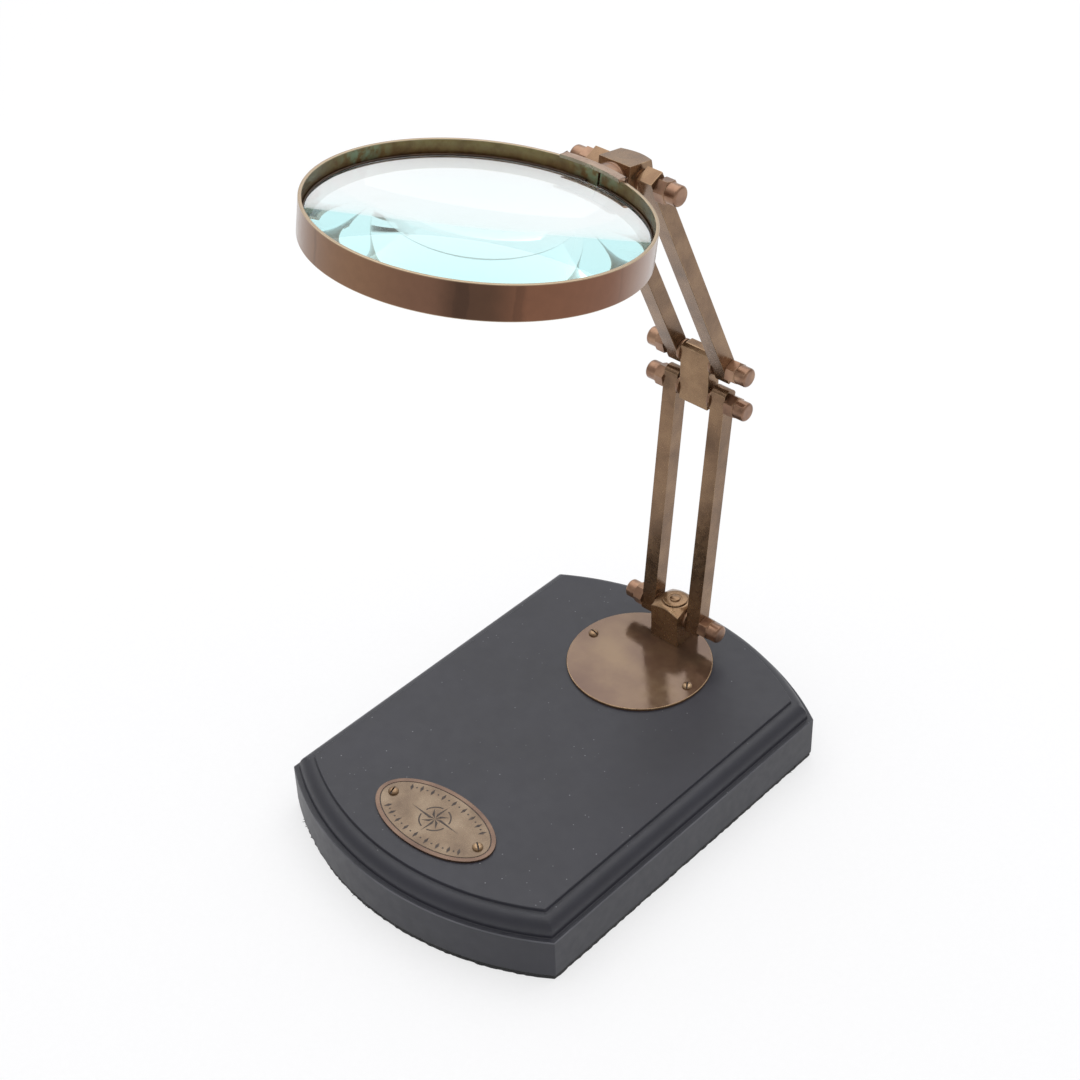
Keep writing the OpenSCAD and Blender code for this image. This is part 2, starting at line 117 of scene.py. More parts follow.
# %% Colours and nodes
def colour(code):
    """An sRGB hex colour as linear red, green, blue and alpha."""
    parts = [int(code[i:i + 2], 16) / 255 for i in (1, 3, 5)]
    linear = [p / 12.92 if p <= 0.04045 else ((p + 0.055) / 1.055) ** 2.4 for p in parts]
    return (*linear, 1.0)


def new_material(name):
    """An empty material, its node tree and its Object coordinates, in metres."""
    material = bpy.data.materials.new(name)
    material.use_nodes = True
    tree = material.node_tree
    tree.nodes.clear()
    return material, tree, add(tree, "TexCoord").outputs["Object"]


def add(tree, kind, inputs=None, stops=(), **settings):
    """Adds a node. An input given as a node or socket is linked, and any other is set."""
    node = tree.nodes.new("ShaderNode" + kind)
    for setting, value in settings.items():
        setattr(node, setting, value)
    for key, value in (inputs or {}).items():
        live = [socket for socket in node.inputs if socket.enabled]
        socket = live[key] if isinstance(key, int) else next(s for s in live if s.name == key)
        if isinstance(value, bpy.types.Node):
            value = next(socket for socket in value.outputs if socket.enabled)
        if isinstance(value, bpy.types.NodeSocket):
            tree.links.new(value, socket)
        else:
            socket.default_value = value
    for stop in stops[2:]:
        node.color_ramp.elements.new(stop[0])
    for number, (place, code) in enumerate(stops):
        node.color_ramp.elements[number].position = place
        node.color_ramp.elements[number].color = colour(code)
    return node


print("#808080 is", round(colour("#808080")[0], 3), "of white in linear light")

# %% Antiqued brass
clear_lacquer = {"Coat Weight": 0.3, "Coat Roughness": 0.15}


def antiqued_brass(name, shades, rough, work, cloud=14 * mm, stain=0.22, bare=0.8,
                   stops=(0.30, 0.50, 0.70)):
    """Browned brass. Shades run from pooled to rubbed, and work draws its tool marks out."""
    material, tree, place = new_material(name)
    # Clouds of the browning bath, a few bar widths across, with stains of 1 to 2 mm in them
    clouds = add(tree, "TexNoise", {"Vector": place, "Scale": 1 / cloud, "Detail": 3})
    stains = add(tree, "TexNoise", {"Vector": place, "Scale": 1 / (2.2 * mm), "Detail": 1.5})
    tone = add(tree, "Mix", {"Factor": stain, "A": clouds, "B": stains})
    base = add(tree, "ValToRGB", {"Fac": tone}, stops=list(zip(stops, shades)))
    # Tool marks 0.4 mm apart, coarser than the real ones so that they show
    along = add(tree, "Mapping", {"Vector": place, "Scale": work})
    marks = add(tree, "TexNoise", {"Vector": along, "Scale": 1 / (0.4 * mm), "Detail": 1})
    # Lacquer over clean brass is smooth, and over a stain it is duller
    shine = add(tree, "MapRange", {"Value": stains, "From Min": 0.3, "From Max": 0.75,
                                   "To Min": rough - 0.04, "To Max": rough + 0.08})
    scratched = add(tree, "Bump", {"Height": marks, "Distance": 0.003 * mm, "Strength": 0.5})
    wavy = add(tree, "Bump", {"Height": clouds, "Distance": 0.04 * mm, "Strength": 0.2,
                              "Normal": scratched})
    # The brown film is an oxide, not a metal, so only the bare share of the light is mirrored.
    # The clear lacquer adds its own white sheen, most where the surface is seen at a low angle
    metal = add(tree, "BsdfPrincipled", {"Base Color": base, "Metallic": bare, "Roughness": shine,
                                         "Normal": wavy, **clear_lacquer})
    add(tree, "OutputMaterial", {"Surface": metal})
    return material


across_x = (0.05, 1, 1)
every_way = (1, 1, 1)
drawn_brass = antiqued_brass("antiqued_drawn_brass", ("#634a34", "#7f6248", "#937557"), 0.26,
                             (1, 1, 0.03))
milled_brass = antiqued_brass("antiqued_milled_brass", ("#684d37", "#86684b", "#9a7b5b"), 0.27,
                              across_x)
turned_brass = antiqued_brass("antiqued_turned_brass", ("#70523f", "#906d56", "#a9866b"), 0.32,
                              across_x, cloud=6 * mm)
sheet_brass = antiqued_brass("antiqued_sheet_brass", ("#5c4236", "#6c5342", "#806850"), 0.13,
                             across_x, cloud=26 * mm, stain=0.12, bare=0.5,
                             stops=(0.28, 0.48, 0.70))
bent_brass = antiqued_brass("antiqued_bent_brass", ("#8c6f5a", "#a88b76", "#bfa48d"), 0.28,
                            across_x, cloud=6 * mm, stops=(0.28, 0.50, 0.70))
# Small engraved plates are browned deeper, and redder towards their edge
plate_brass = antiqued_brass("antiqued_plate_brass", ("#625040", "#75624f", "#877561"), 0.26,
                             across_x, cloud=9 * mm, stain=0.15, bare=0.7)
border_brass = antiqued_brass("antiqued_border_brass", ("#5c463a", "#6d5546", "#7c6453"), 0.26,
                              across_x, cloud=9 * mm, bare=0.7)
# Spring wire is given a near-black brown, which is painted shade for the dark gap between the band
# and the lens
wire_brass_painted_shade = antiqued_brass("antiqued_spring_wire", ("#33261b", "#443325", "#554131"), 0.32,
                            every_way, cloud=5 * mm)
# Where a cloth rubs every day, on edges and screw heads, the browning is thin
rubbed_brass = antiqued_brass("rubbed_brass", ("#7b6047", "#95785a", "#ae9170"), 0.26,
                              every_way, cloud=5 * mm)
print("antiqued so far:", [m.name for m in bpy.data.materials if "antiqued" in m.name])

# %% [markdown]
# ### The band round the lens
# The band is rolled sheet, polished with a belt that ran along it. Its outside carries painted
# reflections: soft upright bands of tone round it, darkest where it faces the camera and lighter
# further round on the right. Nobody polishes the inside: it is duller and more olive, and green has
# crept out of the seam, where flux was left in, and round a splash. The two rims are painted
# bright, partly for rubbing and partly as painted highlight. All this follows the band, so the
# pattern is first brought into the band's own frame.

# %% Rolled band brass
ring_radius = 52.4 * mm
ring_wall = 1.1 * mm
ring_height = 11.2 * mm
print("band:", round(2 * ring_radius / mm, 1), "mm across and", round(ring_height / mm, 1),
      "mm high")


def outside_with_painted_reflections(tree, axes, clouds, stains):
    """The outside's colour: painted reflections round the band, with fine stains and drop lines."""
    # Round the band, from 0 to 1 with the front at 0.25: painted reflections. The darkest stretch,
    # about 40 mm right of the front where the band faces the camera, is a painted dark reflection,
    # and the lighter stretch further round on the right is a painted bright reflection. Slow noise
    # frays their edges a little
    angle = add(tree, "Math", {0: axes["Y"], 1: axes["X"]}, operation="ARCTAN2")
    fray = add(tree, "MapRange", {"Value": clouds, "To Min": 0.494, "To Max": 0.506})
    round_it = add(tree, "Math", {0: angle, 1: 0.5 / math.pi, 2: fray}, operation="MULTIPLY_ADD")
    painted_reflections = add(tree, "ValToRGB", {"Fac": round_it}, stops=[
        (0.00, "#7d604a"), (0.25, "#805f47"), (0.33, "#6f4f3d"), (0.354, "#52392a"),
        (0.38, "#543a2a"), (0.415, "#77503b"), (0.49, "#7b5440"), (0.55, "#947868"),
        (0.62, "#7c6352"), (0.94, "#80624b")])
    painted_reflections.color_ramp.interpolation = "EASE"
    # Stains 2 mm across, and a few thin upright lines where drops ran down
    mottled = add(tree, "MapRange", {"Value": stains, "From Min": 0.3, "From Max": 0.7,
                                     "To Min": 0.95, "To Max": 1.05})
    drops = add(tree, "TexNoise", {"W": round_it, "Scale": 38, "Detail": 3},
                noise_dimensions="1D")
    lines = add(tree, "MapRange", {"Value": drops, "From Min": 0.64, "From Max": 0.72,
                                   "To Min": 1.0, "To Max": 0.78})
    worn = add(tree, "Math", {0: mottled, 1: lines}, operation="MULTIPLY")
    return add(tree, "VectorMath", {0: painted_reflections, "Scale": worn}, operation="SCALE")


def green_creep(tree, local, clouds, wall):
    """How green the band is: round the seam and a splash, and only on the inner wall."""
    blots = add(tree, "TexNoise", {"Vector": local, "Scale": 1 / (3 * mm), "Detail": 5})
    green = add(tree, "MapRange", {"Value": clouds, "From Min": 0.56, "From Max": 0.70,
                                   "To Min": 0, "To Max": 0.12})
    # The seam is at the back and the splash on the left. Each has faded out 12 mm away
    for spot in ((1.8 * mm, ring_radius, 2 * mm), (-ring_radius, 2 * mm, 2.5 * mm)):
        from_spot = add(tree, "VectorMath", {0: local, 1: spot}, operation="DISTANCE")
        near = add(tree, "MapRange", {"Value": from_spot.outputs["Value"], "From Min": 2 * mm,
                                      "From Max": 12 * mm, "To Min": 1, "To Max": 0})
        grown = add(tree, "MapRange", {"Value": blots, "From Min": 0.42, "From Max": 0.60,
                                       "To Min": 0, "To Max": near})
        green = add(tree, "Math", {0: green, 1: grown}, operation="MAXIMUM")
    return add(tree, "Math", {0: green, 1: wall}, operation="MULTIPLY")


# %% Putting the band's finish together
def rolled_brass():
    """Brass sheet rolled into a band: painted reflections outside, olive and green inside, bright
    rims.
    """
    material, tree, place = new_material("antiqued_rolled_brass")
    turned = in_band.to_euler()
    local = add(tree, "Mapping", {"Vector": place, "Location": band_centre, "Rotation": turned},
                vector_type="TEXTURE")
    axes = add(tree, "SeparateXYZ", {"Vector": local}).outputs
    flat = add(tree, "CombineXYZ", {"X": axes["X"], "Y": axes["Y"]})
    reach = add(tree, "VectorMath", {0: flat}, operation="LENGTH").outputs["Value"]
    stains = add(tree, "TexNoise", {"Vector": local, "Scale": 1 / (2.5 * mm), "Detail": 3})
    clouds = add(tree, "TexNoise", {"Vector": local, "Scale": 1 / (12 * mm), "Detail": 3})
    outside = outside_with_painted_reflections(tree, axes, clouds, stains)
    tone = add(tree, "Mix", {"Factor": 0.35, "A": clouds, "B": stains})
    inside = add(tree, "ValToRGB", {"Fac": tone}, stops=[
        (0.34, "#705034"), (0.46, "#856442"), (0.56, "#90724b"), (0.68, "#865c3c")])
    # 1 on the inner wall, and 0 on the outer one
    wall = add(tree, "MapRange", {"Value": reach, "From Min": ring_radius - 0.7 * mm,
                                  "From Max": ring_radius - 0.4 * mm, "To Min": 1, "To Max": 0})
    skin = add(tree, "Mix", {"Factor": wall, "A": outside, "B": inside}, data_type="RGBA")
    green = green_creep(tree, local, clouds, wall)
    skin = add(tree, "Mix", {"Factor": green, "A": skin, "B": colour("#949a7c")},
               data_type="RGBA")
    # The rims, painted bright over the last third of a millimetre: partly rubbed brass, partly
    # painted highlight
    height = add(tree, "Math", {0: axes["Z"]}, operation="ABSOLUTE")
    rim = add(tree, "MapRange", {"Value": height, "From Min": ring_height / 2 - 0.35 * mm,
                                 "From Max": ring_height / 2 - 0.1 * mm})
    skin = add(tree, "Mix", {"Factor": rim, "A": skin, "B": colour("#bca68a")},
               data_type="RGBA")
    # Belt marks run round the band, so they are long in X and Y and 0.2 mm apart in height
    drawn_out = add(tree, "Mapping", {"Vector": local, "Scale": (0.02, 0.02, 1)})
    belt = add(tree, "TexNoise", {"Vector": drawn_out, "Scale": 1 / (0.2 * mm), "Detail": 2})
    dull = add(tree, "MapRange", {"Value": stains, "From Min": 0.3, "From Max": 0.7,
                                  "To Min": 0.2, "To Max": 0.26})
    shine = add(tree, "Math", {0: wall, 1: 0.14, 2: dull}, operation="MULTIPLY_ADD")
    belted = add(tree, "Bump", {"Height": belt, "Distance": 0.003 * mm, "Strength": 0.5})
    metal = add(tree, "BsdfPrincipled", {"Base Color": skin, "Metallic": 1.0, "Roughness": shine,
                                         "Normal": belted, **clear_lacquer})
    add(tree, "OutputMaterial", {"Surface": metal})
    return material


band_brass = rolled_brass()
print("band finish nodes:", len(band_brass.node_tree.nodes))

# %% [markdown]
# ### Black lacquer
# The base is wood under several sprayed coats of satin black. The grain is nearly filled, so it
# only shows as a faint ripple in the light, and dust settles on the parts that look up.

# %% Satin black lacquer
slab_height = 16.2 * mm
slab_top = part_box("base_plinth")[0].z + slab_height


def satin_lacquer():
    """Sprayed black lacquer on wood, with dust on the faces that look up."""
    material, tree, place = new_material("satin_black_lacquer")
    haze = add(tree, "TexNoise", {"Vector": place, "Scale": 1 / (30 * mm), "Detail": 4})
    base = add(tree, "ValToRGB", {"Fac": haze}, stops=[(0.3, "#23232b"), (0.7, "#292932")])
    # The top edge of the slab is painted lighter grey in places: partly rubbed lacquer, partly
    # painted highlight
    height = add(tree, "SeparateXYZ", {"Vector": place}).outputs["Z"]
    on_edge = add(tree, "Math", {0: height, 1: slab_top - 0.2 * mm, 2: 0.19 * mm},
                  operation="COMPARE")
    edge_rubbed_and_highlit = add(tree, "MapRange", {"Value": haze, "From Min": 0.35, "From Max": 0.6,
                                    "To Min": 0.25, "To Max": 0.8})
    edge_rubbed_and_highlit = add(tree, "Math", {0: edge_rubbed_and_highlit, 1: on_edge}, operation="MULTIPLY")
    base = add(tree, "Mix", {"Factor": edge_rubbed_and_highlit, "A": base, "B": colour("#5e5e64")},
               data_type="RGBA")
    # Dust specks 0.4 mm across, one in every square centimetre or so
    specks = add(tree, "TexVoronoi", {"Vector": place, "Scale": 1 / (1.5 * mm)})
    small = add(tree, "MapRange", {"Value": specks, "From Min": 0.10, "From Max": 0.19,
                                   "To Min": 1, "To Max": 0})
    chance = add(tree, "SeparateColor", {"Color": specks.outputs["Color"]})
    few = add(tree, "Math", {0: chance, 1: 0.93}, operation="GREATER_THAN")
    facing = add(tree, "SeparateXYZ", {"Vector": add(tree, "NewGeometry").outputs["Normal"]})
    level = add(tree, "Math", {0: facing.outputs["Z"], 1: 0.95}, operation="GREATER_THAN")
    # It drifts into patches about 35 mm wide
    patch = add(tree, "TexNoise", {"Vector": place, "Scale": 1 / (35 * mm), "Detail": 2})
    drift = add(tree, "MapRange", {"Value": patch, "From Min": 0.42, "From Max": 0.66,
                                   "To Min": 0.15, "To Max": 0.55})
    dust = drift
    for mask in (small, few, level):
        dust = add(tree, "Math", {0: dust, 1: mask}, operation="MULTIPLY")
    base = add(tree, "Mix", {"Factor": dust, "A": base, "B": colour("#a8a8ac")},
               data_type="RGBA")
    cloud = add(tree, "TexNoise", {"Vector": place, "Scale": 1 / (4 * mm), "Detail": 5})
    shine = add(tree, "MapRange", {"Value": cloud, "From Min": 0.3, "From Max": 0.7,
                                   "To Min": 0.40, "To Max": 0.48})
    # Wood grain runs along Y, with pores 0.5 mm apart
    along = add(tree, "Mapping", {"Vector": place, "Scale": (1, 0.04, 1)})
    pores = add(tree, "TexNoise", {"Vector": along, "Scale": 1 / (0.5 * mm), "Detail": 3})
    grain = add(tree, "Bump", {"Height": pores, "Distance": 0.012 * mm, "Strength": 0.35})
    # Spray coats leave an orange-peel ripple about 1 mm wide
    peel = add(tree, "TexNoise", {"Vector": place, "Scale": 1 / (1.2 * mm), "Detail": 2})
    coats = add(tree, "Bump", {"Height": peel, "Distance": 0.01 * mm, "Strength": 0.4,
                               "Normal": grain})
    lacquer = add(tree, "BsdfPrincipled", {"Base Color": base, "Roughness": shine, "IOR": 1.5,
                                           "Normal": coats})
    add(tree, "OutputMaterial", {"Surface": lacquer})
    return material


lacquer_black = satin_lacquer()
print("lacquer nodes:", len(lacquer_black.node_tree.nodes))

# %% [markdown]
# ### Felt, enamel and steel
# The felt is dense black wool, matted from fibres far thinner than a millimetre. The plate's
# ornament is engraved and filled with a soft dark enamel, worn back unevenly. The steel is plain
# turned stock, for the screw and the stud that no one sees. All three are one noise that drives
# both the colour and the bump, so one function makes them.


# %% Plain grained finishes
def grained(name, grain, stretch, shades, depth, **shader):
    """A surface with one grain, in metres, that shows in both its colour and its relief."""
    material, tree, place = new_material(name)
    along = add(tree, "Mapping", {"Vector": place, "Scale": stretch})
    marks = add(tree, "TexNoise", {"Vector": along, "Scale": 1 / grain, "Detail": 6,
                                   "Roughness": 0.7})
    base = add(tree, "ValToRGB", {"Fac": marks}, stops=shades)
    relief = add(tree, "Bump", {"Height": marks, "Distance": depth})
    body = add(tree, "BsdfPrincipled", {"Base Color": base, "Normal": relief})
    for setting, value in shader.items():
        body.inputs[setting.replace("_", " ")].default_value = value
    add(tree, "OutputMaterial", {"Surface": body})
    return material


wool_felt = grained("black_wool_felt", 0.5 * mm, every_way,
                    [(0.3, "#0a0a0b"), (0.7, "#1e1e20")], 0.25 * mm,
                    Roughness=0.95, Sheen_Weight=0.15, Sheen_Roughness=0.6)
enamel = grained("dark_enamel_fill", 1.2 * mm, every_way,
                 [(0.35, "#2a1d16"), (0.6, "#3a2a22"), (0.75, "#5a4535")], 0.01 * mm,
                 Roughness=0.5, IOR=1.5)
steel = grained("turned_mild_steel", 0.25 * mm, across_x, [(0.3, "#7f8184"), (0.7, "#a9abad")],
                0.004 * mm, Metallic=1.0, Roughness=0.35)
print("materials, with the frame's own:", len(bpy.data.materials))

# %% [markdown]
# ### Crown glass
# The lens is plain soda-lime crown glass. Head on it looks clear. Seen along its width the iron
# in it takes out the red, so the light that bounces inside comes out blue-green. A real glass
# shader with absorption in its volume gives both, because each ray pays for the length it ran.


# %% Lens glass
def crown_glass():
    """Polished soda-lime glass that takes out about 40 percent of the red over 10 cm."""
    material, tree, place = new_material("polished_crown_glass")
    # A little grease from fingers, in smears 9 mm wide, dims it by up to 3 percent
    smears = add(tree, "TexNoise", {"Vector": place, "Scale": 1 / (9 * mm), "Detail": 5})
    grease = add(tree, "ValToRGB", {"Fac": smears}, stops=[(0.5, "#ffffff"), (0.8, "#fcfcfb")])
    glass = add(tree, "BsdfPrincipled", {"Base Color": grease, "Roughness": 0.0, "IOR": 1.52,
                                         "Transmission Weight": 1.0})
    tint = add(tree, "VolumeAbsorption", {"Color": (0.0, 0.88, 0.91, 1.0), "Density": 5.4})
    add(tree, "OutputMaterial", {"Surface": glass, "Volume": tint})
    return material


lens_glass = crown_glass()
print("glass nodes:", len(lens_glass.node_tree.nodes))

# %% [markdown]
# ## Working at the bench
# Every piece below is made by the same few moves: add a primitive, choose some of its faces or
# edges by where they are, and then extrude, inset or bevel them. Operators act on whatever is
# selected, and the frame's nodes are all selected once it is loaded. So each move starts by
# selecting nothing, and then only what is meant.


# %% Choosing parts
def only(piece):
    """Makes a piece the one selected and active object, in object mode."""
    if bpy.context.mode != "OBJECT":
        bpy.ops.object.mode_set(mode="OBJECT")
    bpy.ops.object.select_all(action="DESELECT")
    piece.select_set(True)
    bpy.context.view_layer.objects.active = piece


def start(name, *materials):
    """Names the primitive that was just added, puts its place in its mesh and gives it finishes."""
    piece = bpy.context.object
    piece.name = name
    piece.data.name = name
    only(piece)
    bpy.ops.object.transform_apply(location=True, rotation=True, scale=True)
    for material in materials:
        piece.data.materials.append(material)
    return piece


def choose(piece, kind, test=lambda part: True):
    """Edit mode with all VERT, EDGE or FACE parts selected, or only those that pass a test."""
    only(piece)
    bpy.ops.object.mode_set(mode="EDIT")
    bpy.ops.mesh.select_mode(type=kind)
    bpy.ops.mesh.select_all(action="DESELECT")
    work = bmesh.from_edit_mesh(piece.data)
    for part in {"VERT": work.verts, "EDGE": work.edges, "FACE": work.faces}[kind]:
        if test(part):
            part.select_set(True)
    work.select_flush_mode()
    bmesh.update_edit_mesh(piece.data)


def face_out(piece):
    """Points every face of a piece outwards."""
    choose(piece, "FACE")
    bpy.ops.mesh.normals_make_consistent(inside=False)
    only(piece)


def use(piece, kind, **settings):
    """Adds a modifier with its settings and applies it."""
    only(piece)
    modifier = piece.modifiers.new(kind.lower(), kind)
    for setting, value in settings.items():
        setattr(modifier, setting, value)
    bpy.ops.object.modifier_apply(modifier=modifier.name)


print("selected after loading:", len(bpy.context.selected_objects), "objects")

# %% [markdown]
# ## The base
# The base is a slab of wood, sawn with two straight sides and two bowed ends, and then run past
# a router for its moulding: a ledge, a quarter round and a sharp step up to the flat top. Cutting
# one big circle down to the front end's arc and mirroring it gives the exact outline.

# %% The outline of the base
base_low, base_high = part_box("base_plinth")
half_width = base_high.x
half_length = base_high.y
straight_half = 71 * mm
bow = half_length - straight_half
arc_radius = (half_width ** 2 + bow ** 2) / (2 * bow)
mitre_room = 4.2 * mm
print("end arcs:", round(arc_radius / mm, 1), "mm radius, bowed out", round(bow / mm, 1), "mm")


def trim(piece, point, outwards):
    """Saws a piece through a point, and drops what lies outwards of it."""
    choose(piece, "FACE")
    bpy.ops.mesh.bisect(plane_co=point, plane_no=outwards, clear_outer=True)


def outline(name, height, inset, material):
    """A flat face in the outline of the base, drawn in by an inset."""
    bpy.ops.mesh.primitive_circle_add(vertices=720, radius=arc_radius - inset, fill_type="NGON",
                                      location=(0, arc_radius - half_length, height))
    piece = start(name, material)
    side = half_width - inset
    for point, outwards in (((side, 0, 0), (1, 0, 0)), ((-side, 0, 0), (-1, 0, 0)),
                            ((0, 0, 0), (0, 1, 0))):
        trim(piece, point, outwards)
    use(piece, "MIRROR", use_axis=(False, True, False), merge_threshold=0.01 * mm)
    choose(piece, "EDGE", lambda edge: all(abs(v.co.y) < 0.01 * mm for v in edge.verts))
    bpy.ops.mesh.dissolve_edges(use_verts=True)
    # A mitre that runs inwards would meet the points beside its corner, so those go
    choose(piece, "VERT", lambda vert: 0 < side - abs(vert.co.x) - 1e-6 < mitre_room)
    bpy.ops.mesh.dissolve_verts()
    face_out(piece)
    return piece


# %% [markdown]
# ### The router's passes
# Most parts here were turned, sawn or run past a cutter. A cut that goes in by so much and up by
# so much is one inset with a height, and a rounded cut is a row of such steps. Insets also keep
# the moulding's corners truly mitred.


# %% Steps and rounds
def top_face(piece):
    """Selects the highest face that looks up."""
    only(piece)
    highest = max(face.center.z for face in piece.data.polygons if face.normal.z > 0.9)
    choose(piece, "FACE", lambda face: face.normal.z > 0.9
           and face.calc_center_median().z > highest - 1e-6)


def draw_up(height):
    """Extrudes the selection upwards."""
    bpy.ops.mesh.extrude_region_move(TRANSFORM_OT_translate={"value": (0, 0, height)})


def step_in(steps):
    """From the selected face: each (width, height) insets it by width and lifts it by height."""
    for width, height in steps:
        if width:
            bpy.ops.mesh.inset(thickness=width, depth=height, use_even_offset=True)
        else:
            draw_up(height)


def quarter_round(width, height, cuts):
    """Steps that go in by width and up by height on a quarter of an ellipse, bulging outwards."""
    turns = [math.pi / 2 * number / cuts for number in range(cuts + 1)]
    return [(width * (math.cos(here) - math.cos(there)),
             height * (math.sin(there) - math.sin(here)))
            for here, there in zip(turns, turns[1:])]


print("a 1 mm round in three steps:",
      [(round(width, 2), round(height, 2)) for width, height in quarter_round(1, 1, 3)])

# %% [markdown]
# No real edge is sharp. Most pieces are eased, which gives their corners a thin bright line, and
# shaded so that curves look smooth and flats stay flat.


# %% Easing and shading
def weld(piece, distance):
    """Merges points that are closer together than a distance."""
    choose(piece, "VERT")
    bpy.ops.mesh.remove_doubles(threshold=distance)
    only(piece)


def ease(piece, width, segments=2, angle=28, finish=-1):
    """Rounds every edge that is sharper than an angle, and may give the rounds a finish."""
    use(piece, "BEVEL", width=width, segments=segments, limit_method="ANGLE",
        angle_limit=math.radians(angle), use_clamp_overlap=True, material=finish)
    weld(piece, 0.015 * mm)


def smooth(piece, angle=40):
    """Shades curves smooth, and keeps the flat faces flat."""
    only(piece)
    bpy.ops.object.shade_smooth_by_angle(angle=math.radians(angle))
    use(piece, "WEIGHTED_NORMAL", keep_sharp=True, weight=60)


# %% [markdown]
# Last, each piece is handed to the frame. A piece that stands for CAD nodes names them, and every
# piece names the body that it moves with.


# %% Handing over
def fit(piece, body, nodes):
    """Hands a piece to the frame: what it rides on, and what it stands for."""
    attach(piece, body)
    if nodes:
        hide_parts(*nodes)
    print(piece.name, "rides on", body, "with", len(piece.data.polygons), "faces")


# %% [markdown]
# The plinth starts as its outline. The slab is drawn up, a ledge goes in, a low foot rises from it,
# the quarter round follows, and the sharp step up to the flat top comes last. The edges are eased
# by a third of a millimetre, as thick as the coats that run over them.

# %% The moulded plinth
ledge = 2.0 * mm
foot = 0.9 * mm
round_radius = 5.5 * mm
round_cuts = 14
step_up = (base_high.z - base_low.z) - slab_height - foot - round_radius

plinth = outline("moulded_plinth", base_low.z, 0, lacquer_black)
top_face(plinth)
step_in([(0, slab_height), (ledge, 0), (0, foot)]
        + quarter_round(round_radius, round_radius, round_cuts) + [(0, step_up)])
ease(plinth, 0.35 * mm, segments=3)
smooth(plinth)
fit(plinth, "base", ["base_plinth"])

# %% [markdown]
# Felt is cut with a knife and glued on, and its edge soon frays. The outline gets many short
# edges, each point is pushed a little at random, and the sheet is flattened and thickened again.
# Then 150 loose fibres are stuck along its edge.

# %% The felt and its frayed edge
felt_thickness = base_low.z
felt_inset = 0.4 * mm
long_edge = 10 * mm
felt = outline("frayed_felt", 0, felt_inset, wool_felt)
choose(felt, "EDGE", lambda edge: edge.calc_length() > long_edge)
bpy.ops.mesh.subdivide(number_cuts=180)
choose(felt, "VERT")
bpy.ops.transform.vertex_random(offset=0.2 * mm, uniform=1.0, seed=7)
bpy.ops.transform.resize(value=(1, 1, 0), center_override=(0, 0, 0))
only(felt)
felt_edge = [vert.co.copy() for vert in felt.data.vertices]
top_face(felt)
step_in([(0, felt_thickness)])
smooth(felt, 25)
fit(felt, "base", ["felt_pad"])

# %% [markdown]
# A finished piece keeps its object at the origin and holds its place in its mesh, as a CAD node
# does. So each move is applied as soon as it is made. One fibre is made, and its copies, each with
# a mesh of its own, are joined to it.


# %% Copies and places
def raised(height):
    """A move straight up."""
    return Matrix.Translation((0, 0, height))


def put(piece, matrix):
    """Moves a piece to its place, and puts that place in its mesh."""
    only(piece)
    piece.matrix_world = matrix
    bpy.ops.object.transform_apply(location=True, rotation=True, scale=True)


def copy_of(piece, name):
    """A copy with a mesh of its own."""
    twin = piece.copy()
    twin.data = piece.data.copy()
    bpy.context.scene.collection.objects.link(twin)
    twin.name = name
    twin.data.name = name
    return twin


def join(first, *others):
    """Joins pieces that are one solid on the real object."""
    only(first)
    for other in others:
        other.select_set(True)
    bpy.ops.object.join()
    return first


# %% Loose fibres
random.seed(11)
fibre_count = 150
fibre_length = 1.0 * mm
bpy.ops.mesh.primitive_cone_add(vertices=5, radius1=0.14 * mm, radius2=0.03 * mm,
                                depth=fibre_length, location=(0, 0, fibre_length / 2))
fibre = start("felt_fibres", wool_felt)
fibres = []
for number in range(fibre_count):
    point = random.choice(felt_edge)
    outwards = math.atan2(point.y, point.x) + random.uniform(-0.9, 0.9)
    strand = copy_of(fibre, f"fibre_{number}")
    put(strand, Matrix.Translation((point.x, point.y, random.uniform(0.35, 1.5) * mm))
        @ Matrix.Rotation(outwards, 4, "Z") @ Matrix.Rotation(random.uniform(1.1, 1.55), 4, "Y")
        @ Matrix.Diagonal((1, 1, random.uniform(0.4, 1.1), 1)))
    fibres.append(strand)
put(fibre, raised(felt_thickness / 3))
join(fibre, *fibres)
smooth(fibre, 80)
fit(fibre, "base", [])

# %% [markdown]
# ## The oval plate
# A thin oval of brass is held by two round-headed screws. It is engraved with a border, a compass
# star in a ring, and two rows of lozenges and dots, and the lines are filled. The border is a real
# groove. The finer lines read as flat dark fill, so each is a thin inlay that stands a hair above
# the brass.

# %% The oval plate
oval_low, oval_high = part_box("oval_plate")
oval_half = (oval_high - oval_low) / 2
oval_middle = middle("oval_plate")
oval_bevel = 0.12 * mm
line_depth = 0.12 * mm
line_width = 0.3 * mm
line_wall = 0.05 * mm
line_in = 1.5 * mm

bpy.ops.mesh.primitive_circle_add(vertices=180, radius=1, fill_type="NGON")
oval = start("engraved_oval_plate", plate_brass, enamel, border_brass)
put(oval, Matrix.Translation((0, oval_middle.y, oval_low.z))
    @ Matrix.Diagonal((oval_half.x, oval_half.y, 1, 1)))
top_face(oval)
step_in([(0, oval_high.z - oval_low.z - oval_bevel)] + quarter_round(oval_bevel, oval_bevel, 2)
        + [(line_in - oval_bevel, 0), (line_wall, -line_depth)])
bpy.ops.mesh.inset(thickness=line_width, use_even_offset=True)
only(oval)
groove = [face for face in oval.data.polygons
          if len(face.vertices) == 4 and face.normal.z > 0.9
          and face.center.z < oval_high.z - line_depth / 2]
for face in oval.data.polygons:
    face.material_index = 2 * int(len(face.vertices) == 4)
for face in groove:
    face.material_index = 1
choose(oval, "FACE", lambda face: len(face.verts) > 4 and face.normal.z > 0.9)
step_in([(line_wall, line_depth)])
smooth(oval)
fit(oval, "base", ["oval_plate"])
print("engraved border faces:", len(groove))

# %% Lozenges, dots and a compass star
inlay_height = 0.03 * mm
inlay_sunk = 0.01 * mm


